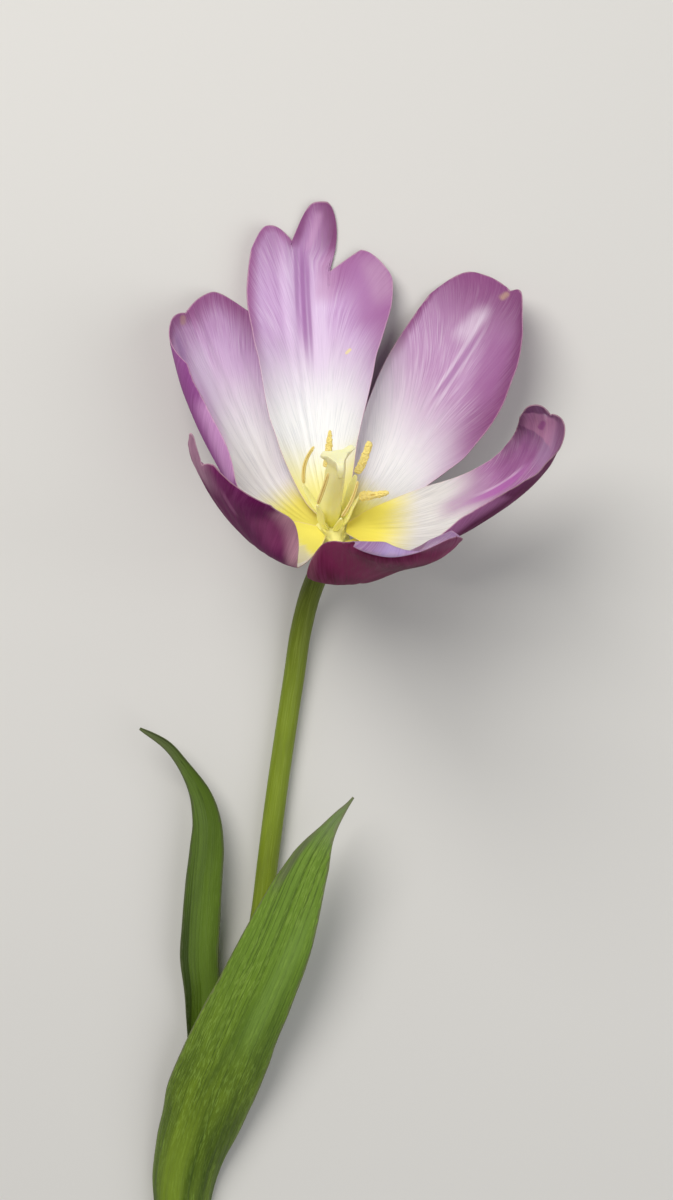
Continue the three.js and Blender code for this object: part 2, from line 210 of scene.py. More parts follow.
# A blade is its middle surface pushed half its thickness both ways along the normal, with the rim
# closed between the two faces. What would sink below the table is pressed up to it. Both faces carry
# the same layers, apart from outer: how much the first and the second face is the outside.
def bladePiece(node, slot, middle, thickness, material, across, along, layers, outer=None):
    push = normalsOf(middle) * (thickness[..., None] / 2)
    faces = np.stack([middle + push, middle - push])
    faces[..., 2] += np.maximum(0, -faces[..., 2].min(0))
    rows, cols = thickness.shape
    ids = np.arange(rows * cols).reshape(rows, cols)
    quad = np.stack([ids[:-1, :-1], ids[:-1, 1:], ids[1:, 1:], ids[1:, :-1]], -1).reshape(-1, 4)
    loop = np.concatenate([ids[0, :-1], ids[:-1, -1], ids[-1, :0:-1], ids[:0:-1, 0]])
    step, under = np.roll(loop, -1), ids.size
    rim = np.stack([loop + under, step + under, step, loop], -1)
    twice = {key: np.tile(values.reshape(under, -1), (2, 1)) for key, values in layers.items()}
    if outer:
        twice["outerFace"] = np.repeat(outer, under)[:, None]
    flat = np.tile(np.stack([across / 2 + 0.5, along], -1).reshape(-1, 2), (2, 1))
    quads = np.concatenate([quad, quad[:, ::-1] + under, rim]).tolist()
    makePiece(pieceName(node), faces.reshape(-1, 3), quads, material, node, slot, twice, flat)


# A tube is a row of closed rings, joined by quads, with a fan of triangles at each end. Its faces are
# turned about if they look inward.
def tubePiece(name, rings, material, node, slot, layers):
    count, sides = rings.shape[:2]
    ids = np.arange(count * sides).reshape(count, sides)
    turned = np.roll(ids, -1, axis=1)
    quad = np.stack([ids[:-1], turned[:-1], turned[1:], ids[1:]], -1).reshape(-1, 4)
    ends = np.full(sides, count * sides)
    low, high = np.stack([ends, turned[0], ids[0]], -1), np.stack([ends + 1, ids[-1], turned[-1]], -1)
    caps = np.concatenate([low, high])
    points = np.concatenate([rings.reshape(-1, 3), rings[[0, -1]].mean(1)])
    corner = points[quad[:, 0]]
    facing = np.cross(points[quad[:, 1]] - corner, points[quad[:, 3]] - corner)
    if (facing * (corner - rings.mean(1)[quad[:, 0] // sides])).sum() < 0:
        quad, caps = quad[:, ::-1], caps[:, ::-1]
    grown = {key: np.concatenate([values.reshape(count * sides, -1), values[[0, -1]].mean(1).reshape(2, -1)])
             for key, values in layers.items()}
    makePiece(name, points, quad.tolist() + caps.tolist(), material, node, slot, grown)


# Rings of a round section round a line: the middle point plus the radius times the cosine along the
# level side and the sine along the upward side.
def ringsOn(line, radius, sides, ways=None):
    if ways is None:
        along = unit(np.gradient(line, axis=0))
        side = unit(np.cross(along, [0, 0, 1]))
        ways = side, np.cross(side, along)
    turn = circle(sides)[:, None]
    ring = np.cos(turn) * ways[0][:, None] + np.sin(turn) * ways[1][:, None]
    return line[:, None] + np.broadcast_to(radius, (len(line), sides))[..., None] * ring


# shader helpers

def display(red, green, blue):
    c = np.array([red, green, blue], float)
    c = np.where(c <= 0.04045, c / 12.92, ((c + 0.055) / 1.055) ** 2.4)
    return (*c.tolist(), 1.0)


def setInputs(node, inputs):
    for key, value in inputs.items():
        if isinstance(value, Flow):
            value.tree.links.new(value.socket, node.inputs[key])
        else:
            node.inputs[key].default_value = value


def addNode(tree, kind, inputs, output=0, **settings):
    made = tree.nodes.new(kind)
    for key, value in settings.items():
        setattr(made, key, value)
    setInputs(made, inputs)
    return Flow(made.outputs[output])


# What leaves a socket: each of its methods adds one node, and arithmetic on it a Math node.
class Flow:
    def __init__(self, socket):
        self.socket, self.tree = socket, socket.id_data

    def math(self, operation, other=0.0, clamp=False, swap=False):
        pair = {0: other, 1: self} if swap else {0: self, 1: other}
        return addNode(self.tree, "ShaderNodeMath", pair, operation=operation, use_clamp=clamp)

    def vector(self, operation, other=None, key=1, output="Vector"):
        inputs = {0: self} if other is None else {0: self, key: other}
        return addNode(self.tree, "ShaderNodeVectorMath", inputs, output, operation=operation)

    def split(self):
        return [Flow(s) for s in addNode(self.tree, "ShaderNodeSeparateXYZ", {0: self}).socket.node.outputs]

    # from low to high it goes from start to end, eased unless how says otherwise
    def ramp(self, low, high, start=0.0, end=1.0, how="SMOOTHSTEP"):
        inputs = {"Value": self, "From Min": low, "From Max": high, "To Min": start, "To Max": end}
        return addNode(self.tree, "ShaderNodeMapRange", inputs, interpolation_type=how, clamp=True)

    # as a mask: a where it is none, b where it is one
    def colours(self, a, b, how="MIX"):
        inputs = {0: self, 6: a, 7: b}
        return addNode(self.tree, "ShaderNodeMix", inputs, 2, data_type="RGBA", blend_type=how)

    def values(self, a, b):
        return addNode(self.tree, "ShaderNodeMix", {0: self, 2: a, 3: b}, data_type="FLOAT")


arithmetic = {"add": "ADD", "sub": "SUBTRACT", "mul": "MULTIPLY", "truediv": "DIVIDE", "pow": "POWER"}
for name, operation in arithmetic.items():
    setattr(Flow, f"__{name}__", lambda a, b, kind=operation: a.math(kind, b))
    setattr(Flow, f"__r{name}__", lambda a, b, kind=operation: a.math(kind, b, swap=True))


# Colours laid one over another, each as far as its mask says; a colour is as seen on a screen.
def layered(colour, *coats):
    for mask, coat in coats:
        colour = mask.colours(colour, coat if isinstance(coat, Flow) else display(*coat))
    return colour


def noise(at, scale, detail, **more):
    return addNode(at.tree, "ShaderNodeTexNoise", {"Vector": at, "Scale": scale, "Detail": detail, **more})


def readLayer(tree, name, output="Fac"):
    return addNode(tree, "ShaderNodeAttribute", {}, output, attribute_name=name, attribute_type="GEOMETRY")


def objectPoint(tree):
    return addNode(tree, "ShaderNodeTexCoord", {}, "Object")


# Makes a node group of a function: each argument is an input, a value unless marked as something else.
def buildGroup(recipe, output, kind="Float"):
    tree = bpy.data.node_groups.new(recipe.__name__, "ShaderNodeTree")
    wants = inspect.signature(recipe).parameters.values()
    for want in wants:
        form = "Float" if want.annotation is want.empty else want.annotation
        made = tree.interface.new_socket(want.name, in_out="INPUT", socket_type="NodeSocket" + form)
        if want.default is not want.empty:
            made.default_value = want.default
    tree.interface.new_socket(output, in_out="OUTPUT", socket_type="NodeSocket" + kind)
    source = tree.nodes.new("NodeGroupInput").outputs
    result = recipe(*[Flow(source[want.name]) for want in wants])
    setInputs(tree.nodes.new("NodeGroupOutput"), {0: result})
    return tree


def useGroup(tree, name, **inputs):
    return addNode(tree, "ShaderNodeGroup", inputs, node_tree=groups[name])


def newMaterial(name):
    material = bpy.data.materials.new(name)
    material.use_nodes = True
    return material, material.node_tree


# The last of a material: its colour, a bump of [strength, distance in metres], and the other inputs.
def finishMaterial(material, colour, height, bump, inputs):
    tree = material.node_tree
    normal = addNode(tree, "ShaderNodeBump", {"Strength": bump[0], "Distance": bump[1], "Height": height})
    setInputs(tree.nodes["Principled BSDF"], {"Base Color": colour, "Normal": normal, **inputs})
    return material


# shader groups

# Fine lines that run up a blade: noise squeezed to a spacing across and drawn out to a run along. Where
# the blade's lines fan apart by a power of two given as level, finer lines blend in between them.
def bladeVeins(position: "Vector", spacing, run, wander, contrast, seed, level=0.0):
    x, y, _ = position.split()
    x, y = (x + (noise(position, 0.12, 1.0) - 0.5) * wander) / spacing, y / run
    whole = level.math("FLOOR")
    layers = []
    for step in (whole + 0.0, whole + 1.0):
        inputs = {0: x * 2.0 ** step, 1: y, 2: seed + step * 7.3}
        layers.append(noise(addNode(x.tree, "ShaderNodeCombineXYZ", inputs), 1.0, 2.0, Roughness=0.5))
    lines = (level - whole).ramp(0, 1).values(*layers)
    return ((lines - 0.5) * contrast).math("ADD", 0.5, clamp=True)


# A soft stroke from one point to another of a flattened blade: one minus the eased distance to the line,
# fading toward both ends, or round there when fade is none.
def softStroke(position: "Vector", start: "Vector", end: "Vector", width, feather, fade):
    reach = position.vector("MULTIPLY", (1, 1, 0)).vector("SUBTRACT", start)
    line = end.vector("SUBTRACT", start)
    over, size = (v.vector("DOT_PRODUCT", line, output="Value") for v in (reach, line))
    share = over.math("DIVIDE", size.math("MAXIMUM", 0.0001), clamp=True)
    off = reach.vector("SUBTRACT", line.vector("SCALE", share, "Scale"))
    mask = off.vector("LENGTH", output="Value").ramp(width, width + feather, 1, 0)
    soft = share.math("MINIMUM", 1.0 - share).ramp(0, fade.math("MAXIMUM", 0.001))
    return mask * fade.math("GREATER_THAN", 0.001).values(1.0, soft)


# The inner face of a petal: foot colour, then pale, then body, deepening to the tip and to the margins,
# its borders drawn out along the veins; the fine veins lighten and darken it a little.
def petalInside(position: "Vector", side, fine, broad,
                foot: "Color", pale: "Color", body: "Color", deep: "Color",
                footEnd, footSoft, paleMiddle, paleLeft, paleRight, paleSoft, deepFrom, deepTo,
                marginLeft, marginRight, marginFrom, marginTo, streak, veinLight, veinDark):
    _, y, edge = position.split()
    jag = (broad * 0.35 + fine * 0.65 - 0.5) * streak
    along = y + jag
    right = side.math("GREATER_THAN", 0.0)
    aside = side.math("ABSOLUTE").math("POWER", 1.6)
    paleEnd = aside.values(paleMiddle, right.values(paleLeft, paleRight))
    paleMask = (along - paleEnd).ramp(paleSoft * -1.0, paleSoft, 1, 0)
    footMask = (y + jag * 0.4 - footEnd).ramp(footSoft * -1.0, footSoft, 1, 0)
    margin = (edge + (broad - 0.5)).ramp(0, right.values(marginLeft, marginRight), 1, 0)
    deepMask = along.ramp(deepFrom, deepTo).math("MAXIMUM", margin * along.ramp(marginFrom, marginTo))
    colour = paleMask.colours(deepMask.colours(body, deep), pale)
    light = fine.ramp(0.5, 1) * veinLight * deepMask.ramp(0, 1, 1, 0.3)
    shade = paleMask.colours((0.52, 0.3, 0.5, 1), (0.6, 0.62, 0.68, 1))
    lined = (fine.ramp(0.5, 0) * veinDark).colours(light.colours(colour, (1, 1, 1, 1)), shade, "MULTIPLY")
    return footMask.colours(lined, foot)


# The outer face of a petal: main colour with lighter streaks, a pale foot and a softer tip.
def petalOutside(position: "Vector", fine, broad, main: "Color", light: "Color", foot: "Color", tip: "Color",
                 footEnd, tipFrom, tipTo, streaks):
    y = position.split()[1]
    colour = y.ramp(tipFrom, tipTo).colours(main, tip)
    colour = (broad.ramp(0.45, 1) * streaks).colours(colour, light)
    colour = (fine.ramp(0.5, 1) * (streaks * 0.5)).colours(colour, light)
    colour = (fine.ramp(0.5, 0) * 0.25).colours(colour, (0.35, 0.16, 0.3, 1), "MULTIPLY")
    return (y + (fine - 0.5) * 4.0).ramp(0, footEnd, 1, 0).colours(colour, foot)


# A thin line along a free edge, its width wavering.
def thinRim(position: "Vector", width):
    wide = width * noise(position, 0.6, 2.0).ramp(0.25, 0.75, 0.3, 1.7)
    return position.split()[2].ramp(wide * 0.4, wide, 1, 0)


# The skin's own texture: tiny cells a fraction of a millimetre long, in the object's coordinates.
def skinCells(cell, strength):
    inputs = {"Vector": objectPoint(cell.tree), "Scale": 1000.0 / cell}
    return addNode(cell.tree, "ShaderNodeTexVoronoi", inputs, "Distance", feature="F1") * strength


recipes = [(bladeVeins, "veins"), (softStroke, "mask"), (petalInside, "colour", "Color"),
           (petalOutside, "colour", "Color"), (thinRim, "mask"), (skinCells, "height")]
groups = {recipe[0].__name__: buildGroup(*recipe) for recipe in recipes}
print("shader groups:", len(groups))


def veins(position, spacing, run, wander, contrast, seed, level=0.0):
    return useGroup(position.tree, "bladeVeins", position=position, spacing=spacing, run=run, wander=wander,
                    contrast=contrast, seed=seed, level=level)


# Soft strokes laid over a colour, each thinned a little by the fine lines if they are given. Most strokes are
# the skin's own markings; one is a painted shadow and one a painted highlight.
# A stroke is [start, end, width, feather, colour, amount, fade at the ends].
def brush(colour, strokes, position, fine=None):
    for start, end, width, feather, tint, amount, *fade in strokes:
        mask = useGroup(position.tree, "softStroke", position=position, start=(*start, 0), end=(*end, 0),
                        width=width, feather=feather, fade=fade[0] if fade else 0.35)
        if fine:
            mask = mask * fine.ramp(0.1, 0.9, 0.8, 1)
        colour = layered(colour, (mask * amount, tint))
    return colour


# petals

# length and width in mm; widest, fall: where the petal is broadest and how much it narrows after;
# base: width share at its foot; skew: right half wider than the left; root: radius and height of the foot.
# spread: angle from the axis at 0, .15, .4, .7, 1 of the length; turn, twist: at 0, .5, 1;
# cupL, cupR: total bend from midrib to margin at 0, .25, .5, .75, 1; rollL: bend added to the left of it
# between rollFrom and the margin; flankR: share added to the right half's width, both at the same places.
# edges: corners and notches of the tip [place across, reach]; crests: the lobe between two of them
# [place across, reach, power of its left side, of its right side, lean of its left edge, of its right edge].
# soft: rounding of the outer corners, left and right; neck: share pinched off at the foot;
# heel: [mm, reach] of a bulge of the left margin's foot; flip: [place across, mm] of a tip that swells
# inward and turns back outward over its last flipRun mm; ruffle: [height, length] of the margin's waves;
# fan: how far the fine lines turn outward, left and right; rib: where the midrib lies across, in mm.
petals = {
    "petal_back": {
        "length": 81, "width": 37.2, "widest": 0.67, "base": 0.2, "fall": 0.24, "skew": -0.03,
        "root": [3.2, 0.9], "spread": [90, 68, 48, 50, 30], "turn": [97, 91, 92], "twist": [6, 9, -1],
        "cupL": [31, 52, 66, 37, 37], "cupR": [35, 71, 59, 21, 24],
        "edges": [[-1, 0.85], [-0.416, 0.879], [0.094, 0.782], [1, 0.776]],
        "crests": [[-0.76, 0.926, 3.6, 1.7, 0, 0], [-0.13, 0.995, 4, 3, 0.05, 0.28],
                   [0.577, 0.846, 1.1, 1.7, 0, 0]],
        "soft": [0, 0.035], "ruffle": [0.2, 9], "fan": [3, 5], "pleats": 0.22, "rib": -3.1, "seed": 11,
    },
    "petal_left": {
        "length": 67.5, "width": 41.2, "widest": 0.51, "base": 0.26, "fall": 0.21, "skew": -0.1,
        "root": [3.2, -1.6], "spread": [93, 79, 48, 45, 42], "turn": [140, 127, 122], "twist": [-3, 0, -29],
        "cupL": [31, 68, 88, 74, 50], "cupR": [30, 25, 17, 16, 19],
        "rollL": [0, 10, 45, 35, 0], "rollFrom": 0.6,
        "edges": [[-1, 0.78], [-0.06, 0.955], [1, 0.88]],
        "crests": [[-0.2, 0.962, 2.2, 2, 0, 0], [0.6, 0.993, 2, 2.6, 0, 0]],
        "ruffle": [0.3, 11], "fan": [3, 3], "pleats": 0.12, "rib": -1.2, "seed": 12,
    },
    "petal_right": {
        "length": 74.5, "width": 34.1, "widest": 0.65, "base": 0.24, "fall": 0.14, "skew": -0.05,
        "root": [3.2, -1.6], "spread": [93, 72, 54, 52, 48], "turn": [49, 47, 61], "twist": [-1, -6, 25],
        "cupL": [30, 45, 42, 43, 41], "cupR": [30, 44, 26, 38, 72],
        "edges": [[-1, 0.85], [0.15, 0.966], [1, 0.88]],
        "crests": [[-0.4, 0.993, 4.5, 1.6, 0, 0], [0.38, 0.975, 1.5, 1.8, 0, 0]],
        "soft": [0, 0.04], "ruffle": [0.3, 10], "fan": [3.5, 3.5], "pleats": 0.16, "rib": -1.6, "seed": 13,
    },
    "petal_right_front": {
        "length": 73.5, "width": 26.9, "widest": 0.35, "base": 0.25, "fall": 0.4, "skew": 0.12,
        "root": [3.2, 0.9], "spread": [92, 84, 57, 30, -23], "turn": [-7, -5, 6], "twist": [-2, -3, -48],
        "cupL": [35, 46, 41, 47, 61], "cupR": [37, 48, 79, 88, 50], "flankR": [0, 0.14, 0.06, 0, 0],
        "edges": [[-1, 0.885], [-0.03, 0.942], [1, 0.93]],
        "crests": [[-0.55, 0.985, 3.5, 2.6, 0, 0], [0.55, 0.958, 2, 3, 0, 0]],
        "ruffle": [0.3, 8], "fan": [2.5, 2.5], "pleats": 0.2, "rib": -3.2, "seed": 14,
    },
    "petal_front": {
        "length": 78, "width": 31.2, "widest": 0.6, "base": 0.28, "fall": 0.09, "skew": 0.28,
        "root": [3.2, -1.6], "spread": [92, 72, 42.5, 46.5, 15], "turn": [-77, -58, -57], "twist": [-1, 3, -7],
        "cupL": [30, 39, 42, 45, 40], "cupR": [30, 33, 77, 63, 44],
        "edges": [[-1, 0.7], [1, 0.76]], "crests": [[0.15, 1, 1.6, 2, 0, 0]],
        "flip": [[0, 0], [0.4, 0.2], [0.55, 1.2], [0.68, 2.4], [0.8, 3.3], [0.9, 2.8], [1, 1.2]],
        "flipRun": 12, "neck": 0.12, "heel": [1.1, 0.13],
        "ruffle": [0.3, 12], "fan": [3, 3], "pleats": 0.15, "seed": 15,
    },
    "petal_left_front": {
        "length": 65, "width": 29.5, "widest": 0.58, "base": 0.25, "fall": 0.39, "skew": -0.25,
        "root": [3.2, 0.9], "spread": [93, 74, 31, 22, 2], "turn": [-148, -144, -139], "twist": [1, 5, 5],
        "cupL": [35, 24, 76, 52, 58], "cupR": [35, 47, 39, 41, 44],
        "edges": [[-1, 0.72], [-0.14, 0.874], [1, 0.62]],
        "crests": [[-0.42, 0.905, 1.1, 2, 0, 0], [0.03, 1, 1.6, 1.8, 0, 0]],
        "ruffle": [0.3, 9], "fan": [3, 3], "pleats": 0.15, "seed": 16,
    },
}
petalGrid = {"across": 121, "along": 161, "power": 1.05}
petalThickness = {"tip": 0.38, "footMore": 0.5, "rimShare": 0.55, "rimWidth": 1.6}   # mm; a share at the rim
knots5, knots3, knotsCup = [0, 0.15, 0.4, 0.7, 1], [0, 0.5, 1], [0, 0.25, 0.5, 0.75, 1]


# Reach of the petal across its width: from an edge the tip rises to the lobe's crest and falls again, each
# side by a power of the distance. Above its notches a lobe leans across by an amount eased with the height,
# and an outer corner is rounded by a quarter of an ellipse.
def tipOf(p, u, v):
    reach, shift = np.zeros_like(u), np.zeros_like(u)
    for (u0, t0), (u1, t1), (at, far, n0, n1, lean0, lean1) in zip(p["edges"], p["edges"][1:], p["crests"]):
        left = far - (far - t0) * np.clip((at - u) / (at - u0), 0, 1) ** n0
        right = far - (far - t1) * np.clip((u - at) / (u1 - at), 0, 1) ** n1
        top = np.where(u < at, left, right)
        share = np.clip((u - u0) / (u1 - u0), 0, 1)
        floor = t0 + (t1 - t0) * share
        rise = np.clip((v * top - floor) / (far - floor), 0, 1)
        here = (u >= u0) & (u <= u1)
        reach = np.where(here, top, reach)
        shift = np.where(here, (lean0 + (lean1 - lean0) * share) * rise * (2 - rise), shift)
    left, right = p.get("soft", [0, 0])
    beyond = np.clip((np.abs(u) - 0.65) / 0.35, 0, 1)
    reach = reach - np.where(u < 0, left, right) * (1 - np.sqrt(1 - beyond ** 2))
    return v * reach, u + shift


# Half width: a quarter sine up to the widest place, then a parabola down, pinched at the foot.
def halfWidth(p, t):
    rise = np.sin(np.pi / 2 * np.minimum(t / p["widest"], 1))
    past = np.maximum(0, (t - p["widest"]) / (1 - p["widest"]))
    neck = 1 - p.get("neck", 0.4) * np.maximum(0, 1 - t / 0.07) ** 2
    return p["width"] / 2 * (p["base"] + (1 - p["base"]) * rise) * (1 - p["fall"] * past ** 2) * neck


# The midrib is stepped along its leaning direction. Each cross-section is walked from the midrib out in
# equal steps, its bend the cup angle's share plus the roll near the margin, in a plane turned by the twist.
def petalMiddle(p, u, v, steps=120, walk=32):
    s = even(steps + 1)
    lean, round_ = np.radians(glide(knots5, p["spread"], s)), np.radians(glide(knots3, p["turn"], s))
    way = np.stack([np.sin(lean) * np.cos(round_), np.sin(lean) * np.sin(round_), np.cos(lean)], -1)
    foot = np.array([p["root"][0] * np.cos(round_[0]), p["root"][0] * np.sin(round_[0]), p["root"][1]])
    rib = np.concatenate([[foot], foot + np.cumsum((way[1:] + way[:-1]) / 2, axis=0) * p["length"] / steps])
    t, u = tipOf(p, u, v)
    at = np.stack([np.interp(t, s, rib[:, k]) for k in range(3)], -1)
    th, ph = np.radians(glide(knots5, p["spread"], t)), np.radians(glide(knots3, p["turn"], t))
    tw = np.radians(glide(knots3, p["twist"], t))[..., None]
    side = np.stack([np.sin(ph), -np.cos(ph), 0 * ph], -1)
    inner = np.stack([-np.cos(th) * np.cos(ph), -np.cos(th) * np.sin(ph), np.sin(th)], -1)
    cupL, cupR, rollL, flankR = (glide(knotsCup, p.get(key, [0] * 5), t)
                                 for key in ("cupL", "cupR", "rollL", "flankR"))
    cup, roll, flank = np.where(u < 0, cupL, cupR), np.where(u < 0, rollL, 0), np.where(u > 0, flankR, 0)
    half = halfWidth(p, t) * (1 + np.sign(u) * p["skew"] * np.minimum(t * 3, 1) + flank)
    heel, reach = p.get("heel", [0, 1])
    half = half + np.where(u < 0, heel, 0) * np.exp(-(t / reach) ** 2)
    out, up = np.zeros_like(u), np.zeros_like(u)
    for k in range(walk):
        w = np.abs(u) * (k + 0.5) / walk
        bend = np.radians(cup * w + roll * smooth(p.get("rollFrom", 0.7), 1, w))
        out += np.cos(bend) * half * u / walk
        up += np.sin(bend) * half * np.abs(u) / walk
    sideways, inward = np.cos(tw) * side + np.sin(tw) * inner, np.cos(tw) * inner - np.sin(tw) * side
    return place(at + out[..., None] * sideways + up[..., None] * inward), t, inward @ flowerAxes


# A flipped tip: over its last stretch each column swells inward, runs a little further and turns back out,
# its shares of the swell and of the run read from two short profiles.
def flipTip(p, u, v, point, normal, t):
    knots, swell = np.array(p["flip"], float).T
    mm = glide(knots, swell, u) * smooth(knots[0] - 0.1, knots[0] + 0.1, u)
    reach = tipOf(p, u, 0 * v + 1)[0]
    share = np.clip(1 - (reach - t) * p["length"] / p["flipRun"], 0, 1)
    inward = mm * glide([0, 0.35, 0.65, 0.82, 0.92, 1], [0, 0.14, 0.62, 1, 0.7, 0], share)
    further = mm * glide([0, 0.5, 0.82, 0.92, 1], [0, 0.05, 0.4, 0.5, 0.1], share)
    return point + normal * inward[..., None] + unit(np.gradient(point, axis=0)) * further[..., None]


# Relief in mm along the normal: ribs that follow the veins, pleats and a groove at the midrib,
# a slow billow, and waves at the free margin.
def petalRelief(p, u, t, vein, edge):
    rng = np.random.default_rng(p["seed"])
    mid = smooth(0.03, 0.2, t)
    ribs = 0.05 * waver(rng, vein, 1.1) + 0.05 * waver(rng, vein, 2.3)
    middle = vein - p.get("rib", 0)
    pleat = p["pleats"] * np.cos(2 * np.pi * middle / 2.6) * np.exp(-(middle / 3.4) ** 2)
    groove = -0.2 * np.exp(-(middle / 0.8) ** 2)
    billow = 0.35 * waver(rng, t * p["length"] + 9 * u, 17) * waver(rng, u * 18 + 40, 11)
    height, length = p["ruffle"]
    wave = height * waver(rng, (t + 3 * np.sign(u)) * p["length"], length / 2) * np.exp(-edge / 3.5)
    fade = smooth(0.1, 0.35, t)
    return (ribs + pleat + groove) * mid * smooth(0, 2, edge) + billow * fade + wave * fade


